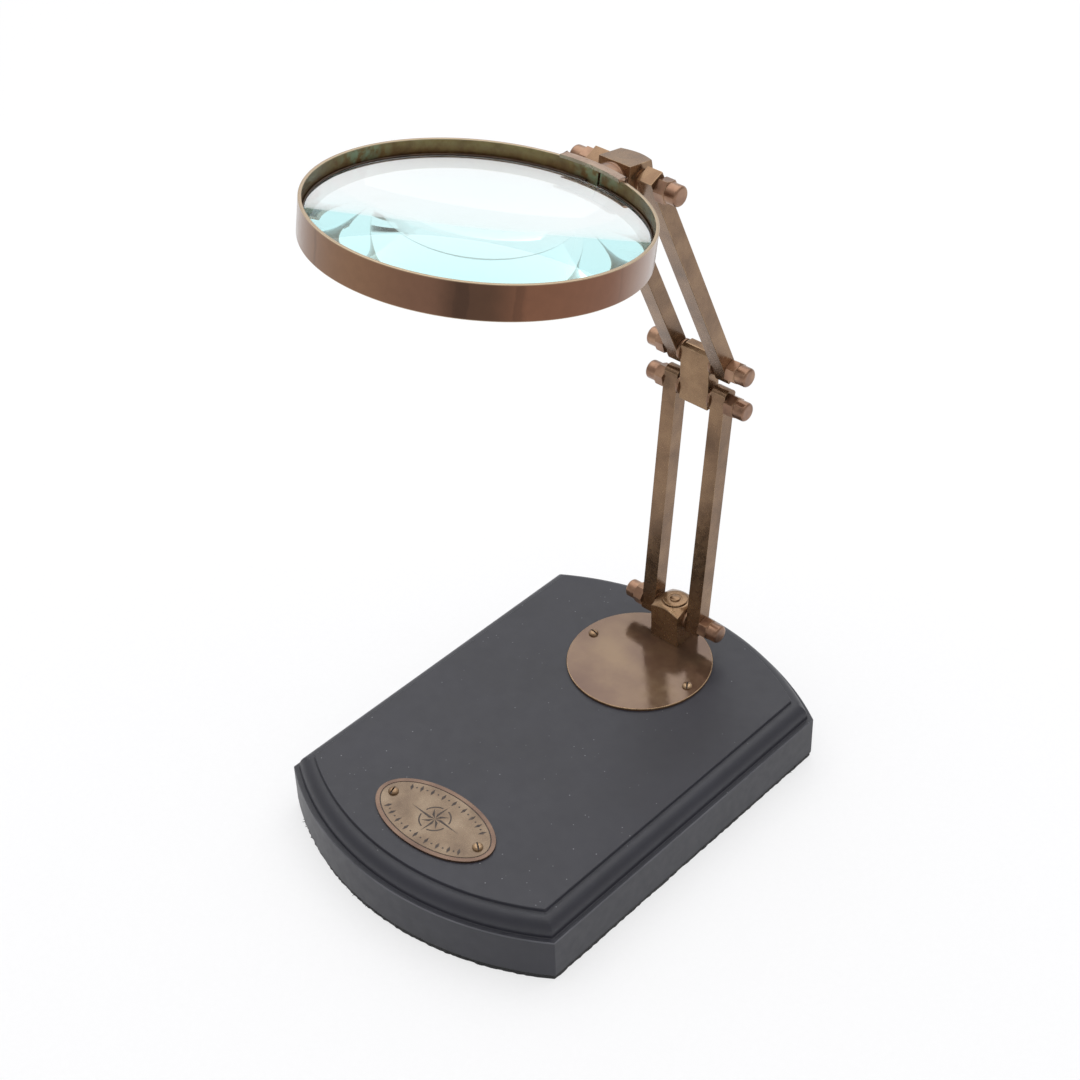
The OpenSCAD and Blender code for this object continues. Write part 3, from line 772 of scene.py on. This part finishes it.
def inlay(corners):
    """A thin inlay of enamel, from a circle that gets as many corners as it needs."""
    bpy.ops.mesh.primitive_circle_add(vertices=len(corners), radius=1, fill_type="NGON")
    piece = start("inlay", enamel)
    for vert, (x, y) in zip(piece.data.vertices, corners):
        vert.co = (x * mm, y * mm, 0)
    choose(piece, "FACE")
    draw_up(inlay_height)
    face_out(piece)
    return piece


def lay(piece, place, turn):
    """A copy of an inlay, pressed a little into the plate."""
    twin = copy_of(piece, "inlay")
    put(twin, Matrix.Translation((place[0], oval_middle.y + place[1], oval_high.z - inlay_sunk))
        @ Matrix.Rotation(turn, 4, "Z"))
    return twin


def round_points(radius, turns):
    """Points on a circle, at turns in degrees."""
    return [(radius * math.cos(math.radians(turn)), radius * math.sin(math.radians(turn)))
            for turn in turns]


def ray(length):
    """Half of a star's ray, on one side of its middle line."""
    return inlay([(0.15, 0.05), (length, 0), (2.2, 0.91)])


print("inlays stand", round((inlay_height - inlay_sunk) / mm, 2), "mm above the brass")

# %% The star and its two rows
# Sizes of the ornament in millimetres
lozenge = inlay([(0.6, 0), (0, 1.6), (-0.6, 0), (0, -1.6)])
dot = inlay(round_points(0.34, range(0, 360, 24)))
wide_ray = ray(11.5)
long_ray = ray(7.2)
short_ray = ray(5.0)
arc = inlay(round_points(5.8, range(13, 78, 4)) + round_points(5.3, range(77, 12, -4)))

row_in = 4.4 * mm
row_x = oval_half.x - row_in
row_y = oval_half.y - row_in
row_turn = math.radians(6.6)
laid = []
for side in (1, -1):
    for number in range(-8, 9):
        turn = side * math.pi / 2 + row_turn * number
        slope = math.atan2(row_x * math.sin(turn), row_y * math.cos(turn))
        laid.append(lay(dot if number % 2 else lozenge,
                        (row_x * math.cos(turn), row_y * math.sin(turn)), slope - math.pi / 2))
for number, pattern in enumerate((wide_ray, short_ray, long_ray, short_ray) * 2):
    laid.append(lay(pattern, (0, 0), math.radians(45 * number)))
for number in range(4):
    laid.append(lay(arc, (0, 0), math.radians(90 * number)))
ornament = join(*laid)
ornament.name = "engraved_ornament"
ornament.data.name = "engraved_ornament"
for pattern in (lozenge, dot, wide_ray, long_ray, short_ray, arc):
    bpy.data.objects.remove(pattern)
fit(ornament, "base", [])

# %% [markdown]
# ## The mounting disc
# A disc turned from sheet stands under the post, to spread its load over the wood. The lathe
# leaves a narrow bevel round its top edge, which catches the light as a thin bright line.

# %% The mounting disc
disc_low, disc_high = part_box("mounting_disc")
disc_middle = middle("mounting_disc")
disc_bevel = 0.3 * mm

bpy.ops.mesh.primitive_circle_add(vertices=256, radius=disc_high.x, fill_type="NGON",
                                  location=(0, disc_middle.y, disc_low.z))
disc = start("turned_mounting_disc", sheet_brass, rubbed_brass)
top_face(disc)
step_in([(0, disc_high.z - disc_low.z - disc_bevel)])
step_in(quarter_round(disc_bevel, disc_bevel, 3))
only(disc)
for face in disc.data.polygons:
    face.material_index = int(0.1 < face.normal.z < 0.97)
smooth(disc, 50)
fit(disc, "base", ["mounting_disc"])

# %% [markdown]
# ## Round-headed slotted screws
# Four small brass screws hold the two plates. The head is turned from rod: a circle drawn up and
# in along a quarter of an ellipse. A slitting saw then cuts the slot, so it is a straight cut by
# a box. Each screw ended at its own angle, as screws do.


# %% Cutting and copying
def low_face(piece):
    """Selects the lowest face that looks down."""
    only(piece)
    lowest = min(face.center.z for face in piece.data.polygons if face.normal.z < -0.9)
    choose(piece, "FACE", lambda face: face.normal.z < -0.9
           and face.calc_center_median().z < lowest + 1e-6)


def cut(piece, tool, operation="DIFFERENCE"):
    """Cuts a piece with another one, which is used up."""
    use(piece, "BOOLEAN", object=tool, operation=operation, solver="EXACT")
    bpy.data.objects.remove(tool)


def fit_copy(pattern, name, place, body, nodes):
    """Puts a copy of a pattern in its place and hands it to the frame."""
    one = copy_of(pattern, name)
    put(one, place)
    fit(one, body, nodes)


# %% One screw, copied four times
head_radius = 1.9 * mm
head_height = 1.3 * mm
slot_width = 0.6 * mm
slot_depth = 0.6 * mm
head_rim = 0.25 * mm
head_flat = 0.3 * mm
shank_in = 0.9 * mm
shank_length = 9.8 * mm
saw_above = 1 * mm

bpy.ops.mesh.primitive_circle_add(vertices=48, radius=head_radius, fill_type="NGON")
screw = start("slotted_screw", rubbed_brass, enamel)
top_face(screw)
step_in([(0, head_rim)])
step_in(quarter_round(head_radius - head_flat, head_height - head_rim, 8))
low_face(screw)
bpy.ops.mesh.inset(thickness=shank_in)
draw_up(-shank_length)
only(screw)
bpy.ops.mesh.primitive_cube_add(size=1,
                                location=(0, 0, head_height + (saw_above - slot_depth) / 2),
                                scale=(slot_width, 3 * head_radius, slot_depth + saw_above))
cut(screw, start("saw"))
# Old polish dries dark in the slot
for face in screw.data.polygons:
    face.material_index = int(abs(face.center.x) < slot_width / 2 + 1e-6
                              and face.center.z > head_height / 3)
smooth(screw)

for node, plate_high, middle_slot, slot_swing in (("oval_plate_screws", oval_high, 35, 20),
                                                  ("mounting_disc_screws", disc_high, 60, -25)):
    low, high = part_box(node)
    across = high.x - head_radius
    # The CAD node holds both screws, and the left one stands for it
    for side, ending, nodes in ((-1, "_left", [node]), (1, "_right", [])):
        place = Matrix.Translation((side * across, (low.y + high.y) / 2, plate_high.z))
        turn = Matrix.Rotation(math.radians(middle_slot + slot_swing * side), 4, "Z")
        fit_copy(screw, node + ending, place @ turn, "base", nodes)
bpy.data.objects.remove(screw)

# %% [markdown]
# ## Blocks with turned ends
# The post on the base and the block at the lens head are square bar, chucked in a lathe by one
# end. The tool cuts the other end to a cone, so each flat side ends in a curve, and leaves a
# raised crown with a button in it. Here a box is intersected with that cone, and the round face
# left on top is then stepped in like any turned thing.

# %% Turned ends
block_width = 12.8 * mm
shoulder_slope = math.radians(30)
crown_radius = 4.9 * mm
crown_height = 0.6 * mm
crown_groove = 0.3 * mm
button_radius = 2.2 * mm
button_height = 0.6 * mm
ring_floor = 0.4 * mm
ring_flank = 0.15 * mm
ring_depth = 0.18 * mm


def turn_end(piece, height, radius, slope):
    """Cuts the top of a bar to a cone that is a given radius at a given height."""
    below = 2 * height
    bpy.ops.mesh.primitive_cone_add(vertices=128, radius1=radius + below / math.tan(slope),
                                    radius2=radius, depth=below,
                                    location=(0, 0, height - below / 2))
    cut(piece, start("cone"), "INTERSECT")
    weld(piece, 0.02 * mm)


def turned_block(name, height):
    """A square block that stands on zero, with its corners cut at a height by the lathe."""
    corner = block_width / math.sqrt(2)
    groove_radius = crown_radius + crown_groove
    top = height + (corner - groove_radius) * math.tan(shoulder_slope)
    bpy.ops.mesh.primitive_cube_add(size=1, location=(0, 0, top),
                                    scale=(block_width, block_width, 2 * top))
    block = start(name, milled_brass, rubbed_brass)
    turn_end(block, top, groove_radius, shoulder_slope)
    ease(block, 0.22 * mm, finish=1)
    top_face(block)
    crown_bevel = crown_height / 2
    step_in([(0.03 * mm, -crown_groove), (crown_groove, 0), (0, crown_groove + crown_bevel)])
    step_in(quarter_round(crown_bevel, crown_bevel, 3))
    step_in([(crown_radius - crown_bevel - button_radius - ring_floor - 2 * ring_flank, 0),
             (ring_flank, -ring_depth), (ring_floor, 0), (ring_flank, ring_depth)])
    button_edge = 0.1 * mm
    step_in([(0, button_edge)] + quarter_round(button_radius - button_edge,
                                               button_height - button_edge, 7))
    only(block)
    return block


print("turned ends: crown", round(2 * crown_radius / mm, 1), "mm and button",
      round(2 * button_radius / mm, 1), "mm across")

# %% [markdown]
# Each pin passes through drilled holes a little wider than itself, so that the arm can turn on it.
# The bit lies along X for a pin, and stands upright for the screw or stud that holds a block.

# %% Holes for pins
pin_radius = 2 * mm
bore_play = 0.03 * mm
sideways = Matrix.Rotation(math.pi / 2, 4, "Y")


def drill(piece, radius, start_at, end_at, turn=None):
    """Drills a round hole along Z, or along the way that a turn sends Z."""
    only(piece)
    bpy.ops.mesh.primitive_cylinder_add(vertices=48, radius=radius, depth=end_at - start_at,
                                        location=(0, 0, (start_at + end_at) / 2))
    bit = start("drill")
    if turn:
        put(bit, turn)
    cut(piece, bit)


def pin_hole(piece, height, play, reach=10 * mm):
    """Drills a hole for a pin, along X through a standing piece."""
    drill(piece, pin_radius + play, -reach, reach, raised(height) @ sideways)


print("pin holes:", round(2 * (pin_radius + bore_play) / mm, 2), "mm wide")

# %% The post and the head block
disc_top = disc_high.z
post_middle = middle("base_post")
shoulder_rise = 3.3 * mm
screw_depth = 7.2 * mm
stud_depth = 4 * mm

post = turned_block("turned_post", base_pin.z - disc_top + shoulder_rise)
pin_hole(post, base_pin.z - disc_top, bore_play)
drill(post, pin_radius + bore_play, -1 * mm, screw_depth)
smooth(post)
put(post, Matrix.Translation((0, post_middle.y, disc_top)))
fit(post, "base", ["base_post"])

head_front = 7.2 * mm
head_block = turned_block("turned_head_block", head_front + shoulder_rise)
pin_hole(head_block, head_front, bore_play)
drill(head_block, pin_radius + bore_play, -1 * mm, stud_depth)
smooth(head_block)
put(head_block, in_head @ Matrix.Translation((0, -head_front, 0))
    @ Matrix.Rotation(-math.pi / 2, 4, "X"))
fit(head_block, "head", ["head_block"])

# %% [markdown]
# The elbow block is plain flat bar, sawn off and filed. Its top edges have a wide bevel, and it
# takes two pins.

# %% The elbow block
elbow_depth = 6 * mm
elbow_end = 4.5 * mm
elbow_bevel = 1.2 * mm
elbow_height = elbow_span + 2 * elbow_end - elbow_bevel
bpy.ops.mesh.primitive_cube_add(size=1, location=(0, 0, elbow_height / 2 - elbow_end),
                                scale=(block_width, elbow_depth, elbow_height))
elbow = start("elbow_block_bar", milled_brass, rubbed_brass)
top_face(elbow)
step_in([(elbow_bevel, elbow_bevel)])
ease(elbow, 0.25 * mm, finish=1)
for height in (0, elbow_span):
    pin_hole(elbow, height, bore_play)
smooth(elbow)
put(elbow, in_elbow)
fit(elbow, "elbow", ["elbow_block"])

# %% [markdown]
# ## The bars
# Each bar is 6 mm square stock. The lower pair's tops are filed round, and every other end is
# sawn square. A round end is drawn up from the top face in small steps, each narrower than the
# last along Y. The long edges are buffed, which leaves them brighter than the flats.

# %% Bars of one pair
bar_side = 6 * mm
bar_play = 0.05 * mm
dome_steps = 9


def bar(name, low_end, high_end, dome):
    """A bar that stands on its lower pin, with its top filed to a radius if dome isn't zero."""
    top = bar_span + high_end
    bpy.ops.mesh.primitive_cube_add(size=1, location=(0, 0, (top - dome - low_end) / 2),
                                    scale=(bar_side, bar_side, top - dome + low_end))
    piece = start(name, drawn_brass, rubbed_brass)
    top_face(piece)
    if dome:
        width = bar_side / 2
        first = math.sqrt(dome ** 2 - width ** 2)
        draw_up(first)
        turn = math.asin(first / dome)
        height = 0
        for number in range(1, dome_steps):
            here = turn + (math.pi / 2 - turn) * number / dome_steps
            rise = dome * math.sin(here) - first
            draw_up(rise - height)
            bpy.ops.transform.resize(value=(1, dome * math.cos(here) / width, 1),
                                     center_override=(0, 0, 0))
            height = rise
            width = dome * math.cos(here)
    ease(piece, 0.22 * mm, finish=1)
    for height in (0, bar_span):
        pin_hole(piece, height, bar_play, reach=5 * mm)
    smooth(piece)
    return piece


lower_bar = bar("lower_bar", 3.6 * mm, 5.6 * mm, 3.4 * mm)
upper_bar = bar("upper_bar", 4.8 * mm, 4.8 * mm, 0)
for pattern, body, place in ((lower_bar, "lower_arm", in_lower_arm),
                             (upper_bar, "upper_arm", in_upper_arm)):
    for side in ("left", "right"):
        node = f"{pattern.name}_{side}"
        low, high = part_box(node)
        aside = Matrix.Translation(((low.x + high.x) / 2, 0, 0))
        fit_copy(pattern, f"square_{node}", place @ aside, body, [node])
bpy.data.objects.remove(lower_bar)
bpy.data.objects.remove(upper_bar)

# %% [markdown]
# ## Washers and cap nuts
# Each pin clamps its pair of bars between two washers and two cap nuts. A cap nut is hexagon bar
# with its free end turned down to a round cap, and the tool leaves the hexagon's corners with the
# curved cut that every nut has. One washer and one nut are made, and eight copies of each put on
# the pins. Each nut stopped at its own angle.

# %% One washer and one cap nut
washer_low, washer_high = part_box("base_washer_right")
nut_low, nut_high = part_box("base_cap_nut_right")
washer_thickness = washer_high.x - washer_low.x
hex_length = 3.9 * mm
cap_radius = 3.5 * mm
cap_bevel = 1 * mm
cap_length = nut_high.x - nut_low.x - hex_length

bpy.ops.mesh.primitive_cylinder_add(vertices=96, radius=washer_high.z - base_pin.z,
                                    depth=washer_thickness,
                                    location=(0, 0, washer_thickness / 2))
washer = start("washer", turned_brass, rubbed_brass)
ease(washer, 0.15 * mm, finish=1)
drill(washer, pin_radius + bore_play, -1 * mm, 3 * mm)
smooth(washer)

flat_radius = 3.65 * mm
corner_cut = 0.08 * mm
corner_ease = 0.03 * mm
cap_root = 0.02 * mm
cap_wall = 1.6 * mm
bpy.ops.mesh.primitive_cylinder_add(vertices=6, radius=flat_radius / math.cos(math.pi / 6),
                                    depth=2 * hex_length, location=(0, 0, hex_length))
nut = start("cap_nut", turned_brass, rubbed_brass)
turn_end(nut, hex_length, flat_radius - corner_cut, math.radians(35))
ease(nut, 0.1 * mm, finish=1)
top_face(nut)
step_in([(flat_radius - corner_cut - corner_ease - cap_radius, cap_root),
         (0, cap_length - cap_bevel - cap_root)])
step_in(quarter_round(cap_bevel, cap_bevel, 6))
drill(nut, pin_radius + bore_play, -1 * mm, hex_length + cap_length - cap_wall)
smooth(nut, 30)
print("cap nut:", round(2 * flat_radius / mm, 1), "mm across flats,",
      round((hex_length + cap_length) / mm, 1), "mm long")

# %% Eight of each on the pins
random.seed(5)
for pin_name, body, place in (("base", "base", in_base), ("elbow_lower", "elbow", in_elbow),
                              ("elbow_upper", "elbow", in_elbow_top), ("head", "head", in_head)):
    for side, turn in (("left", -1), ("right", 1)):
        outwards = place @ Matrix.Rotation(turn * math.pi / 2, 4, "Y")
        node = f"{pin_name}_washer_{side}"
        fit_copy(washer, f"turned_{node}", outwards @ raised(washer_low.x), body, [node])
        node = f"{pin_name}_cap_nut_{side}"
        stopped_at = Matrix.Rotation(random.uniform(-0.5, 0.5), 4, "Z")
        fit_copy(nut, f"turned_{node}", outwards @ raised(nut_low.x) @ stopped_at, body, [node])
bpy.data.objects.remove(washer)
bpy.data.objects.remove(nut)

# %% [markdown]
# ## The lens head
# A round collar carries a saddle of bent sheet, whose two lips are folded over the band. The
# saddle starts as a strip of a circle, gets its lips by drawing its two edges inwards, and is
# given its thickness last, as a bender would see it.

# %% The collar
collar_length = 6.9 * mm
collar_radius = 6 * mm
groove_floor = 0.94
bpy.ops.mesh.primitive_circle_add(vertices=96, radius=collar_radius, fill_type="NGON")
collar = start("turned_neck_collar", turned_brass)
top_face(collar)
for rise, scale in ((1.2 * mm, 1), (0.2 * mm, groove_floor), (0.5 * mm, 1),
                    (0.2 * mm, 1 / groove_floor), (collar_length - 1.5 * mm, 1)):
    draw_up(rise)
    bpy.ops.transform.resize(value=(scale, scale, 1), center_override=(0, 0, 0))
ease(collar, 0.15 * mm, angle=60)
smooth(collar)
put(collar, in_head @ Matrix.Translation((0, -head_front, 0))
    @ Matrix.Rotation(math.pi / 2, 4, "X"))
fit(collar, "head", ["neck_collar"])

# %% The saddle
steps_round = 400


def strip(name, radius, low, high, keep, *materials):
    """An upright strip of a circle's wall, from low to high, where keep is true of its middle."""
    bpy.ops.mesh.primitive_circle_add(vertices=steps_round, radius=radius,
                                      location=(0, 0, low))
    piece = start(name, *materials)
    choose(piece, "EDGE")
    draw_up(high - low)
    choose(piece, "FACE", lambda face: not keep(face.calc_center_median()))
    bpy.ops.mesh.delete(type="FACE")
    face_out(piece)
    return piece


def fold(piece, height, radius, to_radius):
    """Draws one edge of a strip towards the axis, as a lip."""
    choose(piece, "EDGE", lambda edge: all(abs(v.co.z - height) < 1e-6 for v in edge.verts))
    draw_up(0)
    bpy.ops.transform.resize(value=(to_radius / radius, to_radius / radius, 1),
                             center_override=(0, 0, height))


saddle_half = 12 * mm
saddle_thickness = 1.1 * mm
band_play = 0.05 * mm
saddle_radius = ring_radius + band_play
saddle_top = ring_height / 2 + band_play
lip_radius = ring_radius - 2.8 * mm

saddle = strip("bent_ring_saddle", saddle_radius, -saddle_top, saddle_top,
               lambda at: at.y > 0 and abs(at.x) < saddle_half + 1 * mm, bent_brass,
               rubbed_brass)
fold(saddle, saddle_top, saddle_radius, lip_radius)
fold(saddle, -saddle_top, saddle_radius, lip_radius)
for side in (1, -1):
    trim(saddle, (side * saddle_half, 0, 0), (side, 0, 0))
face_out(saddle)
use(saddle, "SOLIDIFY", thickness=saddle_thickness, offset=1, use_even_offset=True)
# Sheet that is folded over a band keeps a round outside to each bend
choose(saddle, "EDGE", lambda edge: all(
    abs(vert.co.xy.length - saddle_radius - saddle_thickness) < 0.05 * mm
    and abs(abs(vert.co.z) - saddle_top - saddle_thickness) < 0.05 * mm for vert in edge.verts))
bpy.ops.mesh.bevel(offset=0.9 * mm, segments=5)
ease(saddle, 0.25 * mm, segments=3, finish=1)
smooth(saddle)
put(saddle, in_band)
fit(saddle, "head", ["ring_saddle"])

# %% [markdown]
# ## The band
# The band is a strip of sheet rolled into a ring, with its two ends left a saw cut apart under
# the saddle. So it is the same strip with one short piece missing, given its wall inwards.

# %% The band and its seam
seam_turn = math.radians(2)
seam_at = math.pi / 2 - math.pi / steps_round
band = strip("rolled_lens_band", ring_radius, -ring_height / 2, ring_height / 2,
             lambda at: abs(math.atan2(at.y, at.x) - seam_at) > math.pi / steps_round,
             band_brass)
use(band, "SOLIDIFY", thickness=ring_wall, offset=-1, use_even_offset=True)
ease(band, 0.2 * mm, segments=3, angle=60)
smooth(band)
put(band, in_band @ Matrix.Rotation(math.pi / steps_round - seam_turn, 4, "Z"))
fit(band, "head", ["lens_ring"])

# %% [markdown]
# ## The lens
# A biconvex lens is two caps of a large sphere back to back on a narrow edge. What is seen
# in it comes from its exact curve, so each ring of points lies on the sphere. Half of it is drawn
# in ring by ring, its pole is closed, and the half is mirrored.

# %% The biconvex lens
curve_radius = 215 * mm
lens_radius = ring_radius - ring_wall - band_play
edge_half = 1 * mm
edge_bevel = 0.2 * mm
lens_rings = 80


def drop(radius):
    """How far the curved face has fallen below its middle at a radius."""
    return curve_radius - math.sqrt(curve_radius ** 2 - radius ** 2)


bpy.ops.mesh.primitive_circle_add(vertices=320, radius=lens_radius, fill_type="NGON")
lens = start("biconvex_lens", lens_glass)
top_face(lens)
radii = [(lens_radius - edge_bevel) * (1 - ring / lens_rings) for ring in range(lens_rings)]
sag_at_edge = drop(radii[0])
step_in([(0, edge_half - edge_bevel), (edge_bevel, edge_bevel)])
step_in([(before - after, drop(before) - drop(after)) for before, after in zip(radii, radii[1:])])
bpy.ops.mesh.merge(type="COLLAPSE")
low_face(lens)
bpy.ops.mesh.delete(type="FACE")
use(lens, "MIRROR", use_axis=(False, False, True), merge_threshold=0.01 * mm)
face_out(lens)
bpy.ops.object.shade_smooth_by_angle(angle=math.radians(30))
lens_height = (in_band.inverted() @ middle("magnifying_lens")).z
put(lens, in_band @ raised(lens_height))
fit(lens, "head", ["magnifying_lens"])
print("lens is", round(2 * (edge_half + sag_at_edge) / mm, 1), "mm thick in the middle")

# %% [markdown]
# Two spring wires hold the lens in the band. Each is a ring of wire with a gap, so that it can
# be squeezed to go in. A torus loses one stretch of faces and has its two ends closed.

# %% The retaining wires
wire_low, wire_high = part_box("upper_retaining_wire")
wire_radius = 0.4 * mm
wire_ring = (wire_high.x - wire_low.x) / 2 - wire_radius
wire_gap = math.radians(6)

bpy.ops.mesh.primitive_torus_add(major_segments=240, minor_segments=12, major_radius=wire_ring,
                                 minor_radius=wire_radius)
# Its near-black finish is painted shade for the gap between the band and the lens
wire = start("spring_wire", wire_brass_painted_shade)
choose(wire, "FACE", lambda face: abs(math.atan2(face.calc_center_median().x,
                                                 face.calc_center_median().y)) < wire_gap / 2)
bpy.ops.mesh.delete(type="FACE")
choose(wire, "EDGE", lambda edge: edge.is_boundary)
bpy.ops.mesh.edge_face_add()
smooth(wire, 50)
for name in ("upper", "lower"):
    height = (in_band.inverted() @ middle(f"{name}_retaining_wire")).z
    fit_copy(wire, f"spring_wire_{name}", in_band @ raised(height), "head",
             [f"{name}_retaining_wire"])
bpy.data.objects.remove(wire)

# %% [markdown]
# ## Pins, screw and stud
# These sit inside their bores, and the CAD solids already have their true shape, so they stay
# and only get a finish.

# %% Finishes for the CAD nodes that stay
for name, material in (("base_pin", turned_brass), ("elbow_lower_pin", turned_brass),
                       ("elbow_upper_pin", turned_brass), ("head_pin", turned_brass),
                       ("post_screw", steel), ("neck_stud", steel)):
    for slot in bpy.data.objects[name].material_slots:
        slot.material = material
    print(name, "is finished in", material.name)

# %% [markdown]
# ## The studio
# The picture was taken on white paper, under a large soft light. The paper is a wide flat sheet.
# Rays from the camera, and those that a mirror or the lens sends on, see it nearly white, and its
# own shading keeps a faint shadow under the base. That shadow fades out with distance, so that the
# sheet ends in plain white and shows no horizon.


# %% White paper
def white_paper():
    """Matt white paper that keeps its shadow and is seen as nearly white."""
    material, tree, place = new_material("matt_white_paper")
    fibres = add(tree, "TexNoise", {"Vector": place, "Scale": 1 / (2 * mm), "Detail": 3})
    base = add(tree, "ValToRGB", {"Fac": fibres}, stops=[(0.3, "#f3f3f6"), (0.7, "#f6f6f9")])
    matt = add(tree, "BsdfDiffuse", {"Color": base})
    glow = add(tree, "Emission", {"Color": (1, 1, 1, 1), "Strength": 1.0})
    rays = add(tree, "LightPath").outputs
    seen = add(tree, "Math", {0: rays["Is Camera Ray"], 1: rays["Is Glossy Ray"]},
               operation="MAXIMUM")
    seen = add(tree, "Math", {0: seen, 1: rays["Is Transmission Ray"]}, operation="MAXIMUM")
    # Near the base the paper keeps its shadow, and a metre away it has faded to plain white
    away = add(tree, "VectorMath", {0: place}, operation="LENGTH").outputs["Value"]
    white = add(tree, "MapRange", {"Value": away, "From Min": 0.25, "From Max": 1.0,
                                   "To Min": 0.66, "To Max": 1.0})
    share = add(tree, "Math", {0: seen, 1: white}, operation="MULTIPLY")
    paper = add(tree, "MixShader", {0: share, 1: matt, 2: glow})
    add(tree, "OutputMaterial", {"Surface": paper})
    return material


bpy.ops.mesh.primitive_plane_add(size=8)
paper = start("paper", white_paper())
print("paper:", paper.dimensions[:])

# %% [markdown]
# The light is soft and comes from all round. A softbox 2 m wide hangs above, so no shadow has a
# hard edge. Polished brass mirrors whatever stands round it, so the room matters as much as the
# lamp. The room is the world's own light: brightest behind on the left, and dimmer towards the
# front and the right.

# %% Soft light all round, and a softbox above
world = bpy.data.worlds.new("studio")
bpy.context.scene.world = world
world.use_nodes = True
sky = world.node_tree
sky.nodes.clear()
direction = add(sky, "TexCoord").outputs["Generated"]
# The white screen stands behind on the left and leans over the object. The room falls off from
# there, to less than two thirds of it at the front and on the right. The camera and rays that
# have passed through the lens see it white
screen_way = (-0.49, 0.52, 0.70)
towards = add(sky, "VectorMath", {0: direction, 1: screen_way}, operation="DOT_PRODUCT")
level = add(sky, "MapRange", {"Value": towards.outputs["Value"], "From Min": 0.2, "From Max": 0.9,
                              "To Min": 0.55, "To Max": 0.88})
rays = add(sky, "LightPath").outputs
seen = add(sky, "Math", {0: rays["Is Camera Ray"], 1: rays["Is Transmission Ray"]},
           operation="MAXIMUM")
strength = add(sky, "Mix", {"Factor": seen, "A": level, "B": 1.0})
light = add(sky, "Background", {"Color": (1, 1, 1, 1), "Strength": strength})
add(sky, "OutputWorld", {"Surface": light})

light_at = Vector((-0.2, 0.3, 1.3))
light_width = 2
light_watts = 13
bpy.ops.object.light_add(type="AREA", location=light_at)
softbox = bpy.context.object
softbox.name = "softbox"
softbox.data.size = light_width
softbox.data.energy = light_watts
softbox.rotation_euler = light_at.to_track_quat("Z", "Y").to_euler()
print("softbox:", softbox.data.energy, "W")

# %% [markdown]
# ## The camera
# The picture was taken from the front right, looking down, with the camera tipped very slightly.

# %% Camera
azimuth = math.radians(43.58)
elevation = math.radians(38.15)
tip = math.radians(-1.92)
camera_at = Vector((0.3797, -0.4037, 0.5476))
bpy.ops.object.camera_add()
camera = bpy.context.object
camera.data.lens = 69.8
camera.data.sensor_width = 36
camera.matrix_world = (Matrix.Translation(camera_at)
                       @ Matrix.Rotation(azimuth, 4, "Z")
                       @ Matrix.Rotation(math.pi / 2 - elevation, 4, "X")
                       @ Matrix.Rotation(tip, 4, "Z"))
bpy.context.scene.camera = camera
bpy.context.scene.view_settings.view_transform = "Standard"
# Light is mirrored many times inside the lens before it comes out, and may then meet brass
cycles = bpy.context.scene.cycles
cycles.max_bounces = cycles.glossy_bounces = cycles.transmission_bounces = 24
print("camera is", round(camera_at.length, 2), "m from the origin")
